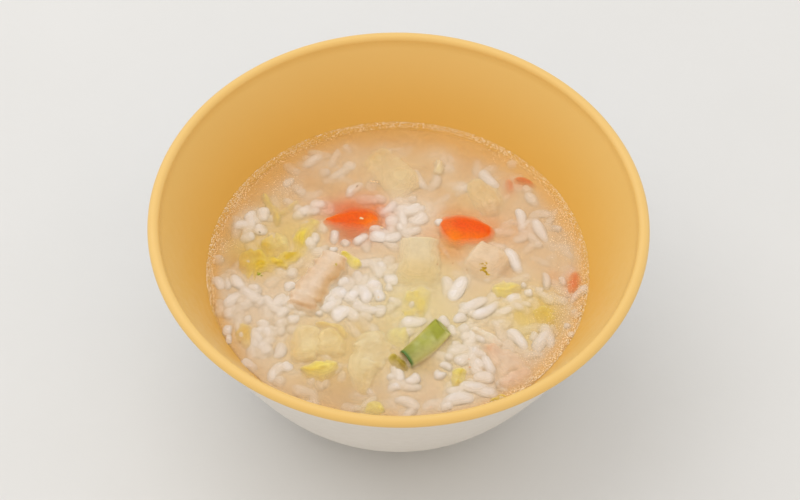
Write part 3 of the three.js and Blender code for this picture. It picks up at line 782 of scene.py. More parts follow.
PIECES = [
    Piece(
        "carrot_left", "carrot",
        [(0, 0, "f27010"), (0.5, 0, "f46200"), (0.35, -0.5, "f06000"), (0.9, -0.3, "fb8200"),
         (0.5, 0.7, "e45a22"), (0.8, 0.5, "e86010"), (0.4, -0.95, "e06610")],
        [(-20.7, 16.2, 1.4), (-17.6, 16.6, 6.5), (-13.2, 17.2, 10.6), (-8.8, 17.4, 10), (-5.7, 16.8, 4)],
        crown=0.1, top=0.1, thick=4.6, square=3, cap=0.8, dips=(1.8, 0.5, 0.1, 0.4), rough=0.2, fold=0.2,
    ),
    Piece(
        "carrot_right", "carrot",
        [(0.05, 0.2, "f07024"), (0.3, 0.8, "ec6c2c"), (0.5, 0, "f05400"), (0.8, 0, "f25600"),
         (0.3, -0.8, "fa8600"), (0.7, -0.8, "f97a00"), (0.95, 0.3, "f86400")],
        [(12.2, 13.4, 6.4), (14.6, 14.3, 9), (18, 14.5, 9.8), (22.3, 13.8, 7.6), (26.3, 13.2, 3)],
        crown=0.2, top=0.3, thick=5, square=3.6, cap=1.6, dips=(1.2, 0.1, 0.2, 0.2), rough=0.2,
        ragged=0.05, widened=1.16,
    ),
    Piece(
        "chicken_left", "chicken",
        [(0, 0, "e9d0b4"), (0.5, 0.1, "e9ceb2"), (0.8, -0.2, "e9d1b6"), (1, 0.2, "e3c098"),
         # the darker tones at s 0.98 are painted shade on its lower right side
         (0.3, 0.98, "deb480"), (0.6, 0.98, "deb684"), (0.5, -0.95, "e4c4a0")],
        [(-17, 3.8, 5.2), (-19, 0, 6.8), (-22.3, -5.6, 6.6), (-24.8, -10.8, 7.3), (-26.3, -13.8, 6)],
        top=1, crown=0.25, thick=7, taper=0.95, wave=0.06, waves=5.5, frill=0.05, square=6, cap=0.7,
        rough=0.2, dips=(0.4, 0, 0.3, 0.5), streak=(0.2, 1), ragged=0.14, widened=1.08,
    ),
    Piece(
        "chicken_right", "chicken",
        [(0.1, 0, "e7caa6"), (0.5, 0.3, "e6c8a4"), (0.9, 0, "e4c29a"), (0.5, -0.9, "dfbb8c")],
        [(20.4, 5.6, 8.6), (24.7, 2.8, 9.2), (29, 0.1, 8)],
        top=0, crown=0.1, thick=6, wave=0.05, square=7, cap=0.6, dips=(0.1, 1.3, 0.1, 0.9),
        streak=(0.15, 1.6), widened=1.22,
    ),
    Piece(
        "chicken_shred", "chicken", [(0, 0, "e4d0b4"), (0.5, 0, "ead8bc"), (1, 0, "e8d2b8")],
        [(20.2, -20.4, 2.6), (24.4, -22.6, 3), (28.2, -25.4, 2)],
        top=0, crown=0.2, thick=1.8, wave=0.2, square=2.2, cap=1.5, rough=0.15, streak=(0.4, 0.5),
        ragged=0.3, dips=(0.4, 0.4, 0.5, 0.6),
    ),
    Piece(
        "chicken_low", "chicken",
        [(0, 0, "dea878"), (0.2, 0.1, "e2c2a2"), (0.5, -0.3, "e2c4a4"), (1, 0, "e2c2a0")],
        [(24, -25.8, 3.4), (27.6, -28.9, 7.4), (31, -32.4, 10.6), (33, -35.6, 9.6)],
        top=-0.2, crown=0.3, thick=6, wave=0.15, frill=0.06, square=3, cap=1.4, dips=(0.9, 0.6, 0, 1.4),
        rough=0.3, streak=(0.5, 0.8), ragged=0.15, fold=0.2,
    ),
    sheet(
        "napa_curl", "leaf",
        [(0, 0, "e0c66e"), (0.2, 0, "e2c648"), (0.4, 0, "dab63c"), (0.6, 0, "dab844"), (0.85, 0, "dcb828"),
         (1, 0, "d6a82c")],
        [(-23.3, 16.9, 3), (-26, 13.1, 3.1), (-28, 5.6, 2.5), (-31.9, 1.9, 3), (-35.8, 0.9, 3.4),
         (-39.4, 1.2, 6.8), (-44.1, 1, 3.6)],
        top=0, wave=0.2, waves=5.5, dips=(0.5, 0.6, 0.9, 0.5), ragged=0.3, sag=0.6, widened=1.5, rough=0.25,
        streak=(1, 0.6),
    ),
    sheet(
        "napa_leaf", "leaf",
        [(0, 0, "e2ca88"), (0.4, -0.3, "e2c67c"), (0.6, 0.8, "d8b348"), (1, 0, "d8b244")],
        [(-30.8, 8.2, 5.6), (-34.6, 7.4, 7.2), (-38.3, 7.6, 4)],
        top=-0.3, sag=0.6, fold=0.3, ragged=0.35, streak=(0.9, 0.6),
    ),
    sheet(
        "leaf_shred", "leaf", [(0, 0, "e4ca5c"), (0.5, 0, "e4cc5c"), (1, 0, "e0c878")],
        [(-15.9, 5, 1.4), (-13.6, 3.4, 2.2), (-11.9, 1.2, 2.6), (-10.9, -0.4, 1.8)],
        top=0.2, dips=(0.3, 0.3, 0.3, 0.8), sag=0.3,
    ),
    Piece(
        "stem_low_left", "stem",
        [(0, 0, "e5cc96"), (0.5, 0, "e8d2a0"), (0.9, 0, "e6cc92"), (0.6, -0.9, "deb870")],
        [(-24.1, -19.6, 4.6), (-24.8, -24.2, 6.4), (-24.9, -28.6, 6.4), (-24.4, -31, 4)],
        **LOW_STEM, dips=(-0.1, 0.5, 0.6, 0.5), widened=1.15,
    ),
    Piece(
        "stem_low_right", "stem",
        [(0, 0, "e4ca8c"), (0.5, 0, "e8d2a0"), (0.9, 0, "e7ce98"), (0.3, 0.9, "e0c070")],
        [(-18.9, -20.6, 3.4), (-17.8, -24.4, 5.4), (-17.7, -29, 5.6)],
        **LOW_STEM, dips=(0.4, -0.1, 0.6, 0.7), widened=1.2,
    ),
    sheet(
        "leaf_tip", "leaf",
        [(0, 0.2, "e0c254"), (0.5, 0.5, "e5cc5c"), (0.9, 0.5, "e4cd6c"), (0.4, -0.6, "dcbc58"),
         (0.7, -0.3, "e2ca70")],
        [(-25.2, -34.4, 2.2), (-22.2, -34.9, 5), (-18.9, -34.3, 5.6), (-15.9, -33, 2.4)],
        top=0.05, thick=1.4, wave=0.2, waves=2, dips=(0.4, 0.8, 0.4, 0.4), rough=0.35, streak=(1.3, 0.55),
        sag=0.5, fold=0.3, ragged=0.3,
    ),
    sheet(
        "leaf_pale", "stem",
        [(0, 0, "e0c99a"), (0.4, 0, "e2cca0"), (0.7, -0.3, "e3cb98"), (1, 0, "e2c68c")],
        [(-7.2, -21.9, 5.6), (-6.6, -27.6, 9.8), (-8.8, -33.8, 7.4), (-9, -42, 2.2)],
        thick=1.2, waves=2, dips=(0.3, 0.3, 0.4, 0.8), rough=0.2, streak=(0.7, 1), ragged=0.12, sag=0.3,
        square=4,
    ),
    Piece(
        "stem_centre", "stem", [(0, 0, "e2cca4"), (0.3, 0, "e0c89e"), (0.7, 0, "dfc28c"), (1, 0, "dcbe7e")],
        [(5.8, 10.6, 10.2), (6, 5, 10.9), (5.8, -0.2, 11.4), (5.2, -5.2, 11.4)],
        top=-0.1, thick=3.4, crown=0.3, square=5, cap=0.5, dips=(0.5, 0.2, 0, 1.5), rough=0.12,
        streak=(0.3, 1.4),
    ),
    sheet(
        "leaf_centre", "leaf",
        [(0, 0, "e2ce86"), (0.5, 0.3, "e2c864"), (0.5, -0.7, "dfc24c"), (1, 0, "e2c864")],
        [(0.9, -10.4, 4), (4.4, -11.1, 7.4), (8.8, -11.7, 6.8)],
        top=-0.3, rough=0.28, sag=1.3, ragged=0.35, widened=1.3,
    ),
    sheet(
        "scallion_leaf", "stem", [(0, 0, "e0cc88"), (0.5, 0, "e2d086"), (1, 0, "e2cc7c")],
        [(-2.6, -21.4, 4), (0.3, -22.9, 7), (3.4, -23.4, 6.6)],
        top=-0.4, dips=(1, 1, 1.2, 1.2), streak=(0.3, 1.4),
    ),
    sheet(
        "olive_leaf", "olive", [(0, 0, "ccb450"), (0.5, 0, "b0962a"), (1, 0, "a88c34")],
        [(-1.6, -29.2, 1.8), (0, -31.4, 2.6), (2.8, -34.2, 1.6)],
        top=0.1, dips=(0.4, 0.4, 1, 0.6), sag=0.2,
    ),
    sheet(
        "leaf_right", "leaf", [(0, 0, "dfc878"), (0.5, 0, "e2ca6c"), (1, 0, "dfc680")],
        [(26.1, -7.1, 3), (29.9, -7, 5.6), (34, -5.6, 2.4)],
        top=-0.2, ragged=0.3, fold=0.3, streak=(1, 0.6),
    ),
    sheet(
        "leaf_far_right", "leaf",
        [(0, 0, "e0c466"), (0.6, 0.4, "e2c040"), (0.6, -0.6, "dfbe5c"), (1, 0, "dcb84c")],
        [(39.3, -11.6, 3.6), (40.3, -15.2, 4.4), (41.5, -18.5, 2.6)],
        top=-0.3, widened=1.2, ragged=0.4, streak=(1.2, 0.5),
    ),
    sheet(
        "leaf_front", "leaf", [(0, 0, "e2cc6c"), (1, 0, "e0c670")],
        [(17.4, -33.5, 3.4), (16.6, -36.5, 3), (15.8, -39.4, 1.9)],
        dips=(0.4, 0.4, 0.3, 0.8), sag=0.5,
    ),
    sheet(
        "leaf_top", "stem", [(0, 0, "deba80"), (0.5, 0, "e2c696"), (1, 0, "e2c898")],
        [(-8.1, 42, 8), (-3.9, 37, 9.4), (3.2, 28, 11)],
        top=-0.3, thick=1.2, dips=(0.4, 0.4, 0.9, 0.9), rough=0.12, streak=(0.4, 2), sag=0.3, ragged=0.08,
        square=4,
    ),
    sheet(
        "leaf_top_right", "stem", [(0, 0, "e0c28c"), (0.5, 0, "e1c08c"), (1, 0, "deba8e")],
        [(22.2, 33.2, 2.4), (22.9, 29.9, 5), (25.5, 24.9, 6.2), (27.4, 20.4, 3.6)],
        top=-0.4, dips=(0.8, 0.3, 1, 1.4), sag=0.3, widened=1.4, ragged=0.1,
    ),
    Piece(
        "flake_top", "stem", [(0, 0, "e2c8a0"), (1, 0, "e4cca0")], [(11.3, 39, 3.5), (11.3, 34.4, 2)],
        top=-0.1, thick=1.6, square=2.4, rough=0.3, ragged=0.5, dips=(0.6, 0.3, 0.8, 0.6),
    ),
]

# Food that lies wholly under the surface, which the CAD model leaves out. Its spines are
# (pixel x, pixel y, width in millimetres).
SUNK_PIECES = [
    Piece(
        "carrot_far", "carrot", [(0, 0, "e06424"), (1, 0, "dc5c1c")],
        [(515, 178, 2), (524, 180, 3), (534, 184, 2.4)],
        top=-1, thick=2, dips=(0.8, 0.8, 0.5, 0.8),
    ),
    Piece(
        "carrot_far_end", "carrot", [(0, 0, "dc6830")],
        [(508, 178, 2.4), (510, 186, 3), (511, 192, 1.6)],
        top=-1.4, thick=2, dips=(0.8, 0.8, 0.8, 0.8),
    ),
    Piece(
        "carrot_side", "carrot", [(0, 0, "e28448"), (0.5, 0, "e0662a"), (1, 0, "e08040")],
        [(576, 270, 3), (575, 281, 4.6), (569, 294, 2)],
        top=-1.1, thick=2.4, dips=(0.8, 1, 0.8, 0.8), ragged=0.2, streak=(0.5, 0.8),
    ),
    sheet(
        "leaf_wisp", "leaf", [(0, 0, "dcbe6c"), (1, 0, "dcba60")],
        [(263, 192, 1.6), (270, 203, 2.4), (276, 213, 2.2), (278, 223, 1.2)], top=-0.6,
    ),
    sheet(
        "leaf_wisp_end", "leaf", [(0, 0, "dcbe6c"), (1, 0, "dfc688")],
        [(277, 214, 1.4), (286, 209, 2.2), (298, 199, 1.6)], top=-0.8,
    ),
    sheet(
        "leaf_streak", "leaf", [(0, 0, "deb95c"), (1, 0, "dfbe68")],
        [(316, 322, 1.4), (327, 324, 2.6), (338, 328, 3), (346, 336, 1.8)], top=-0.6,
    ),
    Piece(
        "chicken_sunk", "chicken", [(0, 0, "e8c4a4"), (1, 0, "e6c09c")],
        [(500, 384, 4), (514, 377, 8), (532, 369, 5)],
        top=-0.5, thick=3, dips=(0.9, 0.9, 0.8, 0.8), rough=0.25,
    ),
    sheet(
        "leaf_left", "leaf", [(0, 0, "e0be70"), (0.5, 0, "deb650"), (1, 0, "dcb864")],
        [(238, 322, 2.6), (244, 329, 5), (247, 338, 4.4), (249, 346, 2.4)], top=-0.6, sag=0.5,
    ),
    sheet("leaf_front_left", "leaf", [(0, 0, "e2ca74")], [(366, 402, 3.2), (374, 406, 4.1), (384, 409, 2.8)]),
    sheet(
        "leaf_front_right", "leaf", [(0, 0, "d8b848"), (1, 0, "dcb644")],
        [(491, 400, 1.6), (500, 398, 2.6), (508, 396, 1.4)], top=-0.2,
    ),
]

RIPPLE_SLANT = 1.3
FRILLS = 5.5
FRILL_LAG = 2.0
RAGGED_SIZE = 1.3
SAG_SIZE = 3.2
# The share of a piece's length over which its end dips.
END_SHARE = 0.3
# Where across a piece its fold runs, and how wide that is.
FOLD_PLACE = 0.1
FOLD_WIDTH = 0.18
# How far a piece's sides run out for each millimetre down, and how deep they do so: a side under the
# surface is lit from above and fades into the broth.
APRON = 0.6
APRON_DEPTH = 2.3
PIECE_STEP = 0.4
CAP_STEPS = 6
PIECE_SIDES = 48
# How soon one tone gives way to the next: a larger value blurs them more.
TONE_SPREAD = 0.06
# What fibres and the grooves between them do to a colour.
FIBRE_GAIN, FIBRE_LIFT = 1.12, 0.04
GROOVE_SHADE = (0.92, 0.85, 0.7)


def spine_of(stations):
    """The same smooth run through stations as in the CAD model, as a function of u."""
    points = np.array(stations, float)
    points = np.vstack([2 * points[0] - points[1], points, 2 * points[-1] - points[-2]])

    def place(u):
        position = np.clip(u, 0, 1) * (len(stations) - 1)
        index = np.minimum(position.astype(int), len(stations) - 2)
        t = (position - index)[:, None]
        p = [points[index + k] for k in range(4)]
        d = [np.sqrt(np.linalg.norm(b - a, axis=1, keepdims=True)) for a, b in zip(p, p[1:])]
        start = ((p[1] - p[0]) / d[0] - (p[2] - p[0]) / (d[0] + d[1]) + (p[2] - p[1]) / d[1]) * d[1]
        end = ((p[2] - p[1]) / d[1] - (p[3] - p[1]) / (d[1] + d[2]) + (p[3] - p[2]) / d[2]) * d[1]
        square = -3 * p[1] + 3 * p[2] - 2 * start - end
        cube = 2 * p[1] - 2 * p[2] + start + end
        return p[1] + start * t + square * t**2 + cube * t**3

    return place


def along_piece(length, cap):
    """Distances along a piece, closer together at its rounded ends, and the share of its size there."""
    turn = np.linspace(0, math.pi / 2, CAP_STEPS + 1)[1:]
    start = cap * (1 - np.cos(turn))
    middle = np.linspace(cap, length - cap, max(3, int((length - 2 * cap) / PIECE_STEP)))[1:-1]
    distance = np.concatenate([start, middle, (length - start)[::-1]])
    size = np.concatenate([np.sin(turn), np.ones(len(middle)), np.sin(turn)[::-1]])
    return distance, size


def signed_power(wave, power):
    """Bends a wave from -1 to 1: towards a box's corners by a power below 1, towards a lens above it."""
    return np.sign(wave) * np.abs(wave) ** power


def faces_of_piece(piece, u, s, along, across, seed):
    """How far over the soup's level a piece's upper and lower face lie."""
    ripple = piece.wave * np.sin(TAU * piece.waves * u + RIPPLE_SLANT * s)
    left, right, start, end = piece.dips
    dip = np.where(s > 0, left, right) * s**2
    dip = dip + start * np.clip(1 - u / END_SHARE, 0, 1) ** 2
    dip = dip + end * np.clip((u - 1 + END_SHARE) / END_SHARE, 0, 1) ** 2
    sag = piece.sag * smoothstep(-0.3, 0.9, noise(along, across + 40, SAG_SIZE, seed + 7))
    fold = piece.fold * np.exp(-(((s - FOLD_PLACE) / FOLD_WIDTH) ** 2))
    upper = piece.top + piece.crown * (1 - s**2) + ripple - dip - sag + fold
    flat = piece.taper >= 1
    return upper, upper - piece.thick if flat else piece.top - piece.thick - dip


def edges_of_piece(piece, u, s, along, seed):
    """What a piece's width is multiplied by at its edges."""
    frill = 1 + piece.frill * np.sin(TAU * FRILLS * u + np.where(s > 0, FRILL_LAG, 0))
    return frill + piece.ragged * noise(along, np.where(s > 0, 7.5, 33.5), RAGGED_SIZE, seed + 6)


def shape_piece(piece, spine, seed):
    """Points and faces, u and s at each point, and the piece's length and greatest width."""
    finely = spine(np.linspace(0, 1, 60))
    length = np.linalg.norm(np.diff(finely[:, :2], axis=0), axis=1).sum()
    distance, size = along_piece(length, min(piece.cap, length / 3))
    u = distance / length
    station = spine(u) * [1, 1, piece.widened]
    ahead = spine(np.clip(u + 0.01, 0, 1)) - spine(np.clip(u - 0.01, 0, 1))
    ahead = ahead[:, :2] / np.linalg.norm(ahead[:, :2], axis=1, keepdims=True)
    side = np.stack([-ahead[:, 1], ahead[:, 0]], axis=1)

    angle, power = np.linspace(0, TAU, PIECE_SIDES, endpoint=False), 2 / piece.square
    s = signed_power(np.cos(angle), power) * size[:, None]
    lift = signed_power(np.sin(angle), power) * size[:, None]
    u = np.broadcast_to(u[:, None], s.shape)
    along, across = u * length, s * station[:, 2:] / 2
    upper, lower = faces_of_piece(piece, u, s, along, across, seed)
    share = (lift + 1) / 2
    taper = piece.taper + (1 - piece.taper) * share
    below = np.minimum((upper - lower) * (1 - share), APRON_DEPTH)
    reach = across * taper * edges_of_piece(piece, u, s, along, seed) + APRON * s * below
    outwards = APRON * below * (smoothstep(0.8, 1, u) - smoothstep(0.2, 0, u))
    x = station[:, :1] + side[:, :1] * reach + ahead[:, :1] * outwards
    y = station[:, 1:2] + side[:, 1:] * reach + ahead[:, 1:] * outwards
    bumps = 0.6 * noise(x, y, 2.6, seed) + 0.4 * noise(x + 50, y, 1.1, seed + 1)
    z = SOUP_LEVEL + lower + (upper - lower) * share + piece.rough * bumps * np.clip(lift + 0.3, 0, 1)
    x = x + piece.rough * noise(y + 20, z * 2 + x * 0.3, 1.6, seed + 2)
    y = y + piece.rough * noise(x + 20, z * 2 + y * 0.3, 1.6, seed + 3)

    rings = np.stack([x, y, z], axis=-1)
    start, end = spine(np.array([0.0, 1.0]))[:, :2]
    points, faces = close_rings(rings, (*start, rings[0, :, 2].mean()), (*end, rings[-1, :, 2].mean()))
    return points, faces, np.append(u, [0, 1]), np.append(s, [0, 0]), length, station[:, 2].max()


def colour_piece(piece, u, s, length, width, seed):
    """The piece's own colours: its tones run into each other, with fibres or veins along it."""
    total, weight_sum = 0, 0
    for tone_u, tone_s, code in piece.tones:
        weight = 1 / ((u - tone_u) ** 2 * 2 + ((s - tone_s) * 0.6) ** 2 + TONE_SPREAD) ** 2
        total = total + weight[:, None] * food(code)
        weight_sum = weight_sum + weight
    colour = total / weight_sum[:, None]
    strength, fibre = piece.streak
    line = noise(u * length / 6 + s * 0.4, s * width / 2 / fibre, 1, seed + 5)
    paler = np.minimum(colour * FIBRE_GAIN + FIBRE_LIFT, BRIGHTEST)
    colour = mix(colour, paler, np.clip(line, 0, 1) * strength)
    return mix(colour, colour * GROOVE_SHADE, np.clip(-line, 0, 1) * strength)


def make_pieces(materials):
    for index, piece in enumerate(PIECES + SUNK_PIECES):
        stations, replaced = piece.spine, [piece.name]
        if index >= len(PIECES):
            stations = [[*on_soup(x, y, -piece.top), width] for x, y, width in stations]
            replaced = []
        seed = 100 + 10 * index
        points, faces, *places = shape_piece(piece, spine_of(stations), seed)
        own = colour_piece(piece, *places, seed)
        tint = broth_colour(*points.T[:2])
        name, look = piece.name + "_piece", piece.look
        pass_light(add_piece(name, points, faces, materials[look], look, replaced, own=own, tint=tint))


# ---------------------------------------------------------------- the scallion

# A flattened tube, nearly as in the CAD model, from its dark end to its slanting cut end. The skew is how far
# its left edge lies ahead of its middle at either end, and the bulge how far its right side swells halfway.
SCALLION_FROM, SCALLION_TO = np.array([2.6, -30.8]), np.array([13.0, -19.8])
SCALLION_WIDTH = 6.5
SCALLION_HEIGHT = 4.6
SCALLION_WALL = 0.7
SCALLION_TOP = 1.1
SCALLION_SLANT = 1.6
SCALLION_SKEW = (0.6, 0.4)
SCALLION_BULGE = 0.8
# What is left of its width at the dark end, and of its height at the cut end, where its lower wall comes up
# to the surface.
SCALLION_NARROWED = 0.88
SCALLION_PRESSED = 0.4
SCALLION_SIDES = 72
SCALLION_STEPS = 36
# The skin near the dark end and near the cut end, its pale patches of painted sheen, the painted highlights
# along its right and its left edge, the cut, the dark end itself (dark green with painted shade of its open
# hole) and the inside.
SKIN_DARK, SKIN_LIGHT = "9a9844", "b2ae50"
SKIN_PAINTED_SHEEN = "c6c280"
SKIN_RIGHT_HIGHLIGHT, SKIN_LEFT_HIGHLIGHT = "d2ca86", "c8b85a"
SCALLION_CUT = "a6a436"
SCALLION_END_GREEN_AND_SHADE = "447638"
SCALLION_INSIDE = "949c28"


def scallion_colour(share, ring_y, inside):
    """The skin's colour at a share of the length, from its upper left edge (ring_y 1) to its right, with
    painted sheen, painted edge highlights and painted shade at the dark end.
    """
    every = np.ones_like(ring_y)
    pale = noise(15 * share * every, 3 * ring_y + 50, 1.7, 31)
    colour = mix(food(SKIN_DARK), food(SKIN_LIGHT), smoothstep(0, 0.5, share) * every)
    # painted sheen in pale patches
    colour = mix(colour, food(SKIN_PAINTED_SHEEN), np.clip(pale, 0, 1) * 0.6 * smoothstep(0, 0.4, share))
    # painted highlights along the right and the left edge
    colour = mix(colour, food(SKIN_RIGHT_HIGHLIGHT), np.clip(-ring_y, 0, 1) * 0.9)
    colour = mix(colour, food(SKIN_LEFT_HIGHLIGHT), np.clip((ring_y - 0.6) * 2, 0, 1))
    cut = smoothstep(0.7, 0.78, share - 0.06 * ring_y) * np.clip(3 * (0.8 + ring_y), 0, 1)
    colour = mix(colour, food(SCALLION_CUT), cut)
    # the dark end's green, partly painted shade of its open hole
    colour = mix(colour, food(SCALLION_END_GREEN_AND_SHADE), (1 - smoothstep(0.0, 0.08, share)) * every)
    return mix(colour, food(SCALLION_INSIDE), 0.9 * every) if inside else colour


def make_scallion(material):
    length = np.linalg.norm(SCALLION_TO - SCALLION_FROM)
    ahead = (SCALLION_TO - SCALLION_FROM) / length
    side = np.array([-ahead[1], ahead[0]])
    angle = np.linspace(0, TAU, SCALLION_SIDES, endpoint=False)
    ring_y, ring_z = np.cos(angle), np.sin(angle)
    shares = np.linspace(0, 1, SCALLION_STEPS + 1)
    rings, colours = [], []
    for share, inside in [(share, False) for share in shares] + [(share, True) for share in shares[::-1]]:
        wall = SCALLION_WALL if inside else 0
        height = SCALLION_HEIGHT * (1 - (1 - SCALLION_PRESSED) * smoothstep(0.2, 1, share))
        half_width = SCALLION_WIDTH / 2 - wall
        half_height = height / 2 - wall * height / SCALLION_HEIGHT
        pinch = SCALLION_NARROWED * (1 - share) + share + 0.02 * np.sin(3 * angle + 4 * share)
        along = share * (length - SCALLION_SLANT * (1 + ring_z) / 2)
        along = along + np.interp(share, (0, 1), SCALLION_SKEW) * ring_y
        swelling = SCALLION_BULGE * math.sin(math.pi * share) * (1 - ring_y) / 2
        across = half_width * ring_y * pinch - swelling
        place = SCALLION_FROM + np.outer(along, ahead) + np.outer(across, side)
        level = SOUP_LEVEL + SCALLION_TOP - height / 2 + half_height * ring_z
        rings.append(np.column_stack([place, level]))
        colours.append(scallion_colour(share, ring_y, inside))
    rings.append(rings[0])
    colours.append(colours[0])
    faces = ring_faces(len(rings), SCALLION_SIDES)
    points, own = np.concatenate(rings), np.concatenate(colours)
    tint = broth_colour(*points.T[:2])
    add_piece("scallion_piece", points, faces, material, "scallion", ["scallion"], own=own, tint=tint)


# ---------------------------------------------------------------- the rice

# The grains that show: the photograph's pixels at their two ends, their width in pixels, and how far
# their top lies under the surface in millimetres.
GRAINS = [
    (262, 205, 264, 219, 11, 0.2), (247, 211, 259, 222, 11, 0.2), (233, 224, 251, 223, 8, 0.3),
    (255, 224, 266, 232, 9, 0.3), (240, 237, 255, 234, 9, 0.5), (215, 254, 221, 262, 9, 0.9),
    (215, 274, 222, 288, 9, 0.5), (225, 273, 229, 288, 7, 0.7), (231, 273, 243, 287, 9, 0.2),
    (246, 288, 259, 285, 7, 0.4), (238, 292, 248, 297, 9, 0.9), (252, 300, 266, 300, 9, 1.0),
    (285, 288, 294, 281, 7.5, 0.1), (304, 257, 295, 266, 8, 1.4), (293, 266, 291, 276, 10, 0.6),
    (315, 230, 314, 242, 8, 0.5), (309, 240, 312, 249, 8, 1.0), (335, 228, 334, 242, 8, 0.3),
    (341, 238, 349, 244, 7, 0.5), (320, 248, 329, 245, 5, 1.6), (329, 249, 338, 247, 4.5, 0.4),
    (271, 307, 285, 293, 9, 0.3), (276, 316, 289, 306, 9, 0.6), (287, 319, 300, 316, 8, 0.4),
    (243, 318, 252, 318, 7, 0.5), (259, 318, 267, 328, 9, 0.4), (264, 326, 272, 338, 9, 0.4),
    (222, 328, 232, 329, 10, 0.1), (225, 338, 232, 338, 8.5, 0.2), (253, 329, 260, 342, 10, 0.3),
    (258, 341, 270, 352, 11, 0.3), (283, 340, 277, 357, 10, 0.4), (282, 361, 291, 369, 9, 0.2),
    (242, 358, 256, 369, 9, 0.7), (274, 376, 284, 384, 10, 0.8), (338, 283, 349, 278, 8, 0.3),
    (329, 292, 347, 291, 10, 0.1), (344, 298, 358, 290, 9, 0.1), (320, 300, 328, 293, 7, 0.5),
    (322, 309, 342, 297, 8, 0.15), (332, 317, 351, 306, 12, 0.05), (316, 314, 323, 309, 6, 0.5),
    (360, 281, 368, 301, 10, 0.0), (371, 279, 380, 294, 11, -0.1), (375, 288, 383, 299, 9, 0.0),
    (379, 260, 385, 274, 9, 0.4), (384, 279, 398, 277, 10, 0.2), (388, 282, 390, 290, 7, 0.5),
    (352, 302, 367, 306, 10, 0.4), (373, 308, 387, 309, 10, 0.4), (388, 297, 403, 303, 7, 0.8),
    (360, 313, 373, 316, 8, 0.7), (353, 241, 368, 234, 7, 0.1), (369, 233, 387, 236, 10, 0.0),
    (383, 238, 402, 233, 8.5, 0.1), (385, 218, 399, 221, 11, 0.4), (401, 202, 404, 226, 9, 0.35),
    (399, 221, 402, 230, 7, 0.5), (412, 223, 426, 210, 13, 0.3), (435, 222, 446, 218, 6, 0.0),
    (407, 198, 417, 197, 6, 1.0), (446, 274, 449, 296, 10, 0.5), (451, 299, 465, 274, 12, 0.0),
    (401, 321, 427, 319, 9, 0.3), (440, 314, 449, 325, 7, 0.1), (450, 323, 455, 335, 7, 0.5),
    (453, 319, 467, 314, 8.5, 0.1), (462, 309, 488, 296, 9, 0.05), (473, 316, 501, 300, 9.5, 0.0),
    (506, 299, 523, 295, 9, 0.2), (524, 292, 533, 290, 7, 0.3), (519, 302, 532, 304, 6, 0.6),
    (521, 283, 527, 284, 5, 0.2), (545, 270, 548, 288, 7, 0.6), (534, 288, 544, 289, 6, 0.8),
    (560, 275, 566, 284, 6, 0.5), (571, 300, 588, 283, 7, 0.5), (509, 326, 527, 347, 9.5, 0.0),
    (535, 349, 550, 328, 11, 0.1), (531, 339, 537, 330, 7, 0.5), (564, 326, 571, 323, 5, 0.5),
    (568, 334, 575, 331, 5, 0.5), (571, 310, 581, 314, 8, 0.9), (459, 329, 470, 325, 9, 0.4),
    (460, 336, 479, 334, 9, 0.4), (456, 362, 471, 352, 10, 0.2), (471, 350, 486, 352, 8, 0.2),
    (484, 354, 493, 373, 9, 0.1), (474, 358, 485, 367, 9, 0.2), (473, 376, 494, 375, 9, 0.2),
    (459, 383, 490, 388, 9, 0.05), (440, 400, 474, 395, 10, 0.1), (440, 406, 453, 403, 8, 0.3),
    (434, 370, 445, 376, 8.5, 0.1), (440, 362, 453, 367, 6, 0.2), (445, 353, 454, 358, 7, 0.5),
    (387, 377, 395, 374, 6, 0.3), (397, 366, 401, 381, 8, 0.3), (387, 388, 400, 384, 7, 0.2),
    (408, 383, 419, 372, 9, 0.1), (480, 168, 498, 186, 10, 0.3), (526, 191, 538, 204, 9, 0.8),
    (519, 207, 523, 229, 9, 0.3), (533, 217, 547, 240, 9, 0.2), (507, 246, 521, 271, 9.5, 0.1),
    (507, 163, 517, 162, 8, 0.9), (523, 184, 532, 191, 8, 1.0), (551, 224, 562, 229, 6, 0.8),
    (302, 165, 323, 153, 9, 0.7), (284, 185, 293, 176, 7, 0.7), (346, 195, 362, 180, 9, 0.6),
    (373, 195, 387, 199, 8, 1.0), (299, 212, 312, 204, 9, 0.5), (309, 203, 327, 203, 9, 0.6),
    (219, 297, 221, 316, 9, 1.0), (236, 300, 247, 306, 9, 1.0), (275, 323, 289, 318, 8, 0.7),
    (275, 332, 285, 327, 8, 0.9), (343, 162, 356, 166, 9, 1.0), (318, 172, 330, 169, 8, 1.1),
    (344, 143, 350, 152, 8, 1.1), (305, 401, 313, 402, 5, 0.8), (472, 331, 486, 340, 7, 0.4),
    (452, 345, 462, 341, 7, 0.7), (466, 344, 474, 351, 7, 0.6), (408, 305, 416, 300, 6, 0.9),
]

# Rice that lies thick close under the surface: the photograph's pixel in the middle of each drift, the
# drift's reach across and down in pixels, and its grains.
DRIFTS = [
    (256, 214, 12, 12, 5), (243, 223, 12, 6, 3), (236, 299, 22, 22, 13), (262, 338, 12, 20, 9),
    (284, 304, 14, 15, 6), (336, 302, 24, 15, 13), (368, 290, 20, 24, 17), (386, 270, 14, 14, 6),
    (404, 213, 18, 16, 10), (370, 236, 30, 6, 7), (470, 309, 28, 14, 10), (474, 352, 18, 16, 10),
    (465, 388, 26, 10, 9), (405, 376, 16, 12, 6), (524, 298, 18, 10, 4), (532, 215, 15, 22, 6),
    (310, 211, 20, 10, 5), (309, 240, 10, 12, 3), (518, 338, 14, 14, 3), (545, 338, 14, 14, 2),
    (229, 334, 12, 9, 2), (268, 372, 20, 12, 4), (352, 270, 12, 10, 3), (420, 400, 24, 8, 3),
    (290, 385, 18, 9, 3),
]
DRIFT_DEPTHS = (0.3, 1.2)

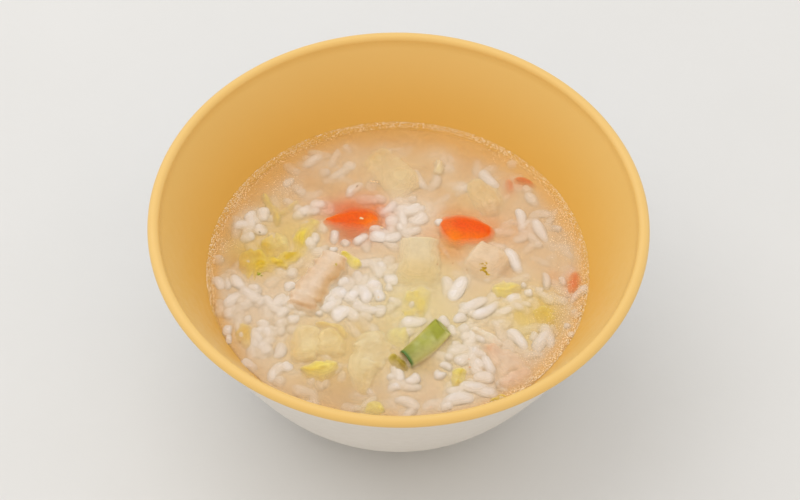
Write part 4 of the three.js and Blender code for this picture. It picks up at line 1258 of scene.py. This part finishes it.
# Where the photograph shows plain broth between the drifts: pixel and reach in pixels.
BARE = [
    (350, 271, 12), (365, 270, 10), (320, 240, 10), (297, 221, 12), (302, 270, 11), (257, 198, 12),
    (228, 233, 12), (558, 329, 10), (420, 381, 10), (342, 232, 11), (356, 232, 11), (437, 356, 11),
    (426, 366, 12), (412, 367, 10), (368, 247, 10), (332, 286, 9), (345, 205, 16), (372, 208, 14),
    (470, 211, 12), (489, 222, 9), (326, 182, 10), (269, 224, 9), (305, 218, 9), (285, 197, 10),
    (245, 332, 8), (354, 152, 9), (429, 393, 9), (379, 376, 9), (447, 308, 9), (334, 251, 9),
]

GRAIN_RINGS = 12
GRAIN_SIDES = 12
GRAIN_THICK = 2.0
GRAIN_LENGTHS = (5.6, 8.8)
GRAIN_WIDTHS = (2.8, 3.8)
# How blunt a grain's ends are, how lumpy it is, how much its cross-section is like a lens (1 is an ellipse),
# and what share of its upper half's height its lower half has.
GRAIN_BLUNT = 3.6
GRAIN_LUMPS = 0.1
GRAIN_LENS = 1.8
GRAIN_BELOW = 0.5
GRAIN_TONES = ("ecdfd3", "e8d8c8")
PATCH_SHADE = (0.97, 0.95, 0.92)
# A grain's edge is lost in the broth, so it is wider than what shows of it.
GRAIN_WIDENED = 1.25
RICE_SEED = 7
# Rice all over the bowl, with its tops deeper under the surface.
SUNK_GRAINS = 300
SUNK_DEPTHS = (0.9, 2.2)


def shown_grains(random):
    """Each grain as its two ends, its width, its thickness and how deep its top lies."""
    for x0, y0, x1, y1, width, top in GRAINS:
        start, end = on_soup(x0, y0, top), on_soup(x1, y1, top)
        upright = abs(math.sin(math.atan2(y1 - y0, x1 - x0)))
        pixels = PIXELS_DOWN * (1 - upright) + PIXELS_ACROSS * upright
        yield start, end, GRAIN_WIDENED * width / pixels, GRAIN_THICK * random.uniform(0.85, 1.1), top


def lying_grain(middle, depths, random):
    heading = random.uniform(0, math.pi)
    half = random.uniform(*GRAIN_LENGTHS) / 2 * np.array([math.cos(heading), math.sin(heading)])
    thick = GRAIN_THICK * random.uniform(0.85, 1.1)
    return middle - half, middle + half, random.uniform(*GRAIN_WIDTHS), thick, random.uniform(*depths)


def drift_grains(random):
    for pixel_x, pixel_y, across, down, count in DRIFTS:
        for _ in range(count):
            middle = on_soup(*random.normal((pixel_x, pixel_y), (0.55 * across, 0.55 * down)))
            if np.hypot(*middle) < SOUP_RADIUS - 5:
                yield lying_grain(middle, DRIFT_DEPTHS, random)


def sunk_grains(random):
    for _ in range(SUNK_GRAINS):
        radius, turn = (SOUP_RADIUS - 5) * math.sqrt(random.uniform()), random.uniform(0, TAU)
        middle = radius * np.array([math.cos(turn), math.sin(turn)])
        yield lying_grain(middle, SUNK_DEPTHS, random)


def clear_of_bare(grain):
    """Whether a grain lies outside the places where the photograph shows plain broth."""
    middle = (grain[0] + grain[1]) / 2
    return all(
        np.linalg.norm(middle - on_soup(pixel_x, pixel_y)) * PIXELS_ACROSS > reach
        for pixel_x, pixel_y, reach in BARE
    )


def place_rice():
    random = np.random.default_rng(RICE_SEED)
    return {
        "rice_shown": [*shown_grains(random), *filter(clear_of_bare, drift_grains(random))],
        "rice_sunk": list(filter(clear_of_bare, sunk_grains(random))),
    }


RICE_CELL = 1.0
RICE_CELLS = 58
# How far from a grain, and from how deep, the broth still looks whiter for it.
RICE_REACH = 2.2
RICE_DEPTH = 1.2


def map_rice(rice):
    """How much rice lies near the surface around each cell of a square over the soup, from 0 to 1."""
    steps = np.arange(-RICE_CELLS, RICE_CELLS + 1) * RICE_CELL
    places = np.stack(np.meshgrid(steps, steps, indexing="ij"), axis=-1)
    total = np.zeros(places.shape[:2])
    for grains in rice.values():
        for start, end, _, _, top in grains:
            along = end - start
            share = np.clip((places - start) @ along / (along @ along), 0, 1)
            away = np.linalg.norm(places - start - share[..., None] * along, axis=-1)
            total += np.exp(-((away / RICE_REACH) ** 2) - top / RICE_DEPTH)
    return 1 - np.exp(-total)


RICE = place_rice()
RICE_MAP = map_rice(RICE)


def grain_body(start, end, width, thick, top, random):
    """One cooked grain between two points: rounded, a little bent and lumpy, fatter at one end."""
    middle, along = (start + end) / 2, end - start
    length = np.linalg.norm(along)
    along = along / length
    across = np.array([-along[1], along[0]])
    t = -np.cos(np.linspace(0, math.pi, GRAIN_RINGS + 2))[1:-1, None]
    radius = (1 - np.abs(t) ** GRAIN_BLUNT) ** 0.5 * (1 + random.uniform(-0.2, 0.2) * t)
    angle = np.linspace(0, TAU, GRAIN_SIDES, endpoint=False)
    lumps = random.uniform(-1, 1, (4, 4))
    swell = 1 + GRAIN_LUMPS * sum(
        lumps[i, j] * np.sin((i + 1) * t * 2 + lumps[j, i] * 3 + (j + 1) * angle)
        for i in range(2) for j in range(2)
    )
    bend = random.uniform(-0.2, 0.2) * width * (t**2 - 0.4)
    sideways = width / 2 * radius * swell * np.cos(angle) + bend
    lens = signed_power(np.sin(angle), GRAIN_LENS) * np.where(angle < math.pi, 1, GRAIN_BELOW)
    upwards = thick / 2 * radius**2 * swell * lens
    tip = random.uniform(-0.35, 0.35)
    level = SOUP_LEVEL - top - thick / 2
    x, y = (middle[i] + along[i] * t * length / 2 + across[i] * sideways for i in (0, 1))
    rings = np.stack([x, y, level + upwards + tip * t], axis=-1)
    return close_rings(rings, (*start, level - tip), (*end, level + tip))


def make_rice(material):
    """All grains, milky white and a little pinker or yellower from grain to grain."""
    random = np.random.default_rng(RICE_SEED + 1)
    for name, grains in RICE.items():
        bodies, tones = [], []
        for grain in grains:
            bodies.append(grain_body(*grain, random))
            tones.append(mix(*map(food, GRAIN_TONES), random.uniform()) * random.uniform(0.96, 1.03))
        points, faces, owner = join(bodies)
        x, y, _ = points.T
        own = np.array(tones)[owner]
        patchy = mix(own, own * PATCH_SHADE, np.clip(noise(x, y, 1.5, 21), 0, 1))
        own, tint = np.minimum(patchy, BRIGHTEST), broth_colour(x, y)
        pass_light(add_piece(name, points, faces, material, "congee", ["congee"], own=own, tint=tint))


# ---------------------------------------------------------------- froth and specks

FROTH_SEED = 5
FROTH_BUBBLES = 6800
FROTH_WIDTH = 2.6
FROTH_SIZES = (0.06, 0.15)
FROTH_PALENESS = (0.2, 0.8)
FROTH_PALER_AT_WALL = 0.6
FROTH_RADIUS = SOUP_RADIUS - 0.15
# The middle of the stretch at the near left that has no froth, and how far it runs each way, in radians.
FROTH_FREE = (-2.15, 0.85)
FROTH_SIDES = 5
FROTH_TONE = "f8e6c8"
FROTH_LIGHT = "f4e0c0"
# Where the froth reaches further in: pixel of the photograph, reach in millimetres, and bubbles.
FROTH_PATCHES = [
    (566, 240, 6, 260), (568, 300, 7, 420), (562, 335, 8, 480), (545, 362, 7, 300), (236, 200, 5, 260),
    (285, 188, 5, 120), (500, 155, 4, 90), (562, 215, 5, 200), (222, 245, 4, 120), (520, 385, 6, 160),
]
# A bubble's two rings as (radius, height over the broth), and its bottom and top, for a size of 1.
BUBBLE_RINGS = ((1.0, -0.05), (0.7, 0.12))
BUBBLE_HEIGHTS = (-0.3, 0.18)


def bubble_body(x, y, level, size, sides):
    """A small flat dome that floats on the broth, closed underneath."""
    angle = np.linspace(0, TAU, sides, endpoint=False)
    circle = np.stack([np.cos(angle), np.sin(angle), np.zeros(sides)], axis=-1)
    rings = [[x, y, level + height * size] + radius * size * circle for radius, height in BUBBLE_RINGS]
    bottom, top = BUBBLE_HEIGHTS
    return close_rings(np.array(rings), (x, y, level + bottom * size), (x, y, level + top * size))


def froth_places(random):
    for _ in range(FROTH_BUBBLES):
        angle = math.pi * random.uniform(-1, 1)
        inwards = FROTH_WIDTH * random.uniform() ** 1.3 * (1 + 0.25 * math.sin(3 * angle + 1))
        radius = FROTH_RADIUS - inwards
        if abs(angle - FROTH_FREE[0]) > FROTH_FREE[1] * random.uniform(0.7, 1):
            yield radius * math.cos(angle), radius * math.sin(angle)
    for pixel_x, pixel_y, reach, count in FROTH_PATCHES:
        middle = on_soup(pixel_x, pixel_y)
        for _ in range(count):
            x, y = middle + random.normal(0, reach / 2, 2)
            if math.hypot(x, y) < FROTH_RADIUS:
                yield x, y


def froth_material():
    nodes = Nodes("froth")
    own = nodes.attribute("own")
    paler = nodes.blend(nodes.noise(0.5), own, nodes.blend(0.3, own, rgba(FROTH_LIGHT)))
    nodes.set(Base_Color=paler, Roughness=0.4, Coat_Weight=0.2, Coat_Roughness=0.1)
    return nodes.owner


def make_froth():
    random = np.random.default_rng(FROTH_SEED)
    places = np.array(list(froth_places(random)))
    radius = np.hypot(*places.T)
    near_wall = smoothstep(FROTH_RADIUS - FROTH_WIDTH, FROTH_RADIUS, radius)
    paleness = random.uniform(*FROTH_PALENESS, len(places)) + FROTH_PALER_AT_WALL * near_wall
    tones = mix(broth_colour(*places.T), food(FROTH_TONE), np.minimum(paleness, 1))
    levels = SOUP_LEVEL + surface_rise(radius)
    points, faces, owner = join([
        bubble_body(x, y, level, random.uniform(*FROTH_SIZES), FROTH_SIDES)
        for (x, y), level in zip(places, levels)
    ])
    pass_light(add_piece("froth", points, faces, froth_material(), "congee", ["congee"], own=tones[owner]))


# Small specks on the soup: pixel of the photograph, size in millimetres, and colour.
SPECKS = [
    (259.5, 231, 0.28, "7a6a4c"), (357, 185, 0.25, "8a6a50"), (437.5, 263, 0.28, "a8663c"),
    (453, 262, 0.2, "a87a50"), (467, 268.5, 0.22, "a88458"), (336, 266, 0.4, "c8b03c"),
    (334, 267, 0.3, "b8b048"), (378.5, 296, 0.3, "dcae54"), (259, 273, 0.45, "9aa020"),
    (261.5, 274.5, 0.4, "8a981c"), (258, 272, 0.35, "a8ac30"), (286, 266, 0.3, "b89a3c"),
    (240, 341, 0.22, "a87a40"), (469, 358, 0.25, "d08a60"), (470, 366, 0.3, "cc9468"),
    (431, 406, 0.25, "c48a60"), (480, 263, 0.5, "c8a428"), (482.5, 262.5, 0.55, "bf9a1e"),
    (485, 264, 0.5, "c8a42a"), (483, 266.5, 0.5, "b89418"), (485, 267, 0.55, "b48f14"),
    (483.5, 269, 0.55, "bc971c"), (485.5, 270.5, 0.55, "b8921a"), (487, 272.5, 0.5, "c4a028"),
    (488.5, 273.5, 0.5, "caa830"), (481, 269, 0.35, "c8a838"), (486.5, 262, 0.35, "ccaa3a"),
]
# A speck's width, thickness and rise over what it lies on, for a size of 1.
SPECK_WIDTH = 1.3
SPECK_THICK = 0.8
SPECK_RISE = 0.3
# Clear bubbles: pixel of the photograph and radius in millimetres.
BUBBLES = [
    (361, 217.5, 0.45), (362.5, 218, 0.35), (382, 226.5, 0.35), (380.5, 226, 0.25), (371, 180, 0.4),
    (374, 180.5, 0.45), (377, 181, 0.35),
]
BUBBLE_SIDES = 16
BUBBLE_TONES = ("e6c89c", "dcb88a")
# How far over the soup's level specks and bubbles are taken to be, to find their places from their pixels.
FLOATING = 0.5
# What a speck doesn't rest on.
CLEAR = ("congee_surface", "congee_cloud", "froth")
CLEAR_FACES = 8
DOWN = Vector((0, 0, -1))


def height_at(x, y):
    """The height of the food or the soup under a speck, found from straight above."""
    bpy.context.view_layer.update()
    scene, layer = bpy.context.scene, bpy.context.view_layer.depsgraph
    start = Vector((x * MM, y * MM, BOWL_HEIGHT * MM))
    for _ in range(CLEAR_FACES):
        hit, place, _, _, thing, _ = scene.ray_cast(layer, start, DOWN)
        if not hit:
            break
        if not thing.hide_render and not thing.name.startswith(CLEAR):
            return max(place.z / MM, SOUP_LEVEL)
        start = place + DOWN * 1e-6
    return SOUP_LEVEL


def make_specks(material):
    random = np.random.default_rng(FROTH_SEED + 1)
    bodies = []
    for pixel_x, pixel_y, size, _ in SPECKS:
        middle = on_soup(pixel_x, pixel_y, -FLOATING)
        half = size * np.array([math.cos(random.uniform(0, TAU)), math.sin(random.uniform(0, TAU))])
        top = SOUP_LEVEL - height_at(*middle) - size * SPECK_RISE
        ends = middle - half, middle + half
        bodies.append(grain_body(*ends, size * SPECK_WIDTH, size * SPECK_THICK, top, random))
    points, faces, owner = join(bodies)
    own = np.array([food(code) for *_, code in SPECKS])[owner]
    pass_light(add_piece("herb_specks", points, faces, material, "olive", own=own, tint=own))


def make_bubbles():
    bodies = []
    for pixel_x, pixel_y, size in BUBBLES:
        place = on_soup(pixel_x, pixel_y, -FLOATING)
        bodies.append(bubble_body(*place, height_at(*place), size, BUBBLE_SIDES))
    points, faces, _ = join(bodies)
    nodes = Nodes("bubble_skin")
    tone = nodes.blend(nodes.noise(0.8), *map(rgba, BUBBLE_TONES))
    nodes.set(Base_Color=tone, Roughness=0.2, Coat_Weight=0.8)
    add_piece("bubbles", points, faces, nodes.owner, "congee", ["congee"])


# ---------------------------------------------------------------- floor and light

FLOOR_REACH = 2500.0
FLOOR_TONES = ("d7d8d9", "d2d3d3")

# The sky's strength and colour overall, and low in front of the bowl: where that glow comes from, and the
# cosine of the angle from there at which it starts.
SKY = 1.05
SKY_TONE = "f8fbff"
GLOW = 1.08
GLOW_TONE = "fff2e0"
GLOW_FROM = (0.15, -0.95, 0.28)
GLOW_STARTS = -0.3
KEY_PLACE = (-520, 380, 1250)
KEY_SIZE = 1500
KEY_POWER = 5.5
KEY_TONE = "fffaf2"


def floor_material():
    nodes = Nodes("table_top")
    cloud = nodes.noise(60, detail=5, roughness=0.6)
    nodes.set(
        Base_Color=nodes.blend(cloud, *map(rgba, FLOOR_TONES)),
        Roughness=0.7,
        Normal=nodes.bump(nodes.noise(4, detail=4), 0.05),
    )
    return nodes.owner


def make_stage():
    corners = [(-1, -1), (1, -1), (1, 1), (-1, 1)]
    points = [(x * FLOOR_REACH, y * FLOOR_REACH, 0) for x, y in corners]
    add_object("floor", points, [(0, 1, 2, 3)], floor_material())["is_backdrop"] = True


def make_sky():
    """A pale sky that is a little warmer and brighter low in front of the bowl."""
    nodes = Nodes("studio", "worlds", "Background")
    direction = nodes.add("ShaderNodeTexCoord").outputs["Generated"]
    towards = nodes.add("ShaderNodeVectorMath", {0: direction, 1: GLOW_FROM}, operation="DOT_PRODUCT")
    share = nodes.ramp(towards.outputs["Value"], GLOW_STARTS, 1)
    nodes.set(
        Color=nodes.blend(share, rgba(SKY_TONE), rgba(GLOW_TONE)),
        Strength=nodes.math("ADD", nodes.math("MULTIPLY", share, GLOW - SKY), SKY),
    )
    bpy.context.scene.world = nodes.owner


def make_key():
    """A large soft lamp at the upper left, behind the bowl."""
    data = bpy.data.lights.new("key", "AREA")
    data.shape = "DISK"
    data.size = KEY_SIZE * MM
    data.energy = KEY_POWER
    data.color = linear(KEY_TONE)
    light = bpy.data.objects.new("key", data)
    light.location = Vector(KEY_PLACE) * MM
    light.rotation_euler = (-Vector(KEY_PLACE)).to_track_quat("-Z", "Y").to_euler()
    bpy.context.scene.collection.objects.link(light)


# ---------------------------------------------------------------- the whole

bpy.context.scene.view_settings.view_transform = "Standard"
make_camera()
make_stage()
make_sky()
make_key()

food_materials = {look: food_material(*values) for look, values in FOODS.items()}
make_bowl()
make_core()
make_pieces(food_materials)
make_scallion(food_materials["scallion"])
make_rice(food_materials["rice"])
make_film()
make_clouds()
make_froth()
make_specks(food_materials["olive"])
make_bubbles()

box = {"cad": cad_box, "visual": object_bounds()}
{name: np.array(corners).tolist() for name, corners in box.items()}
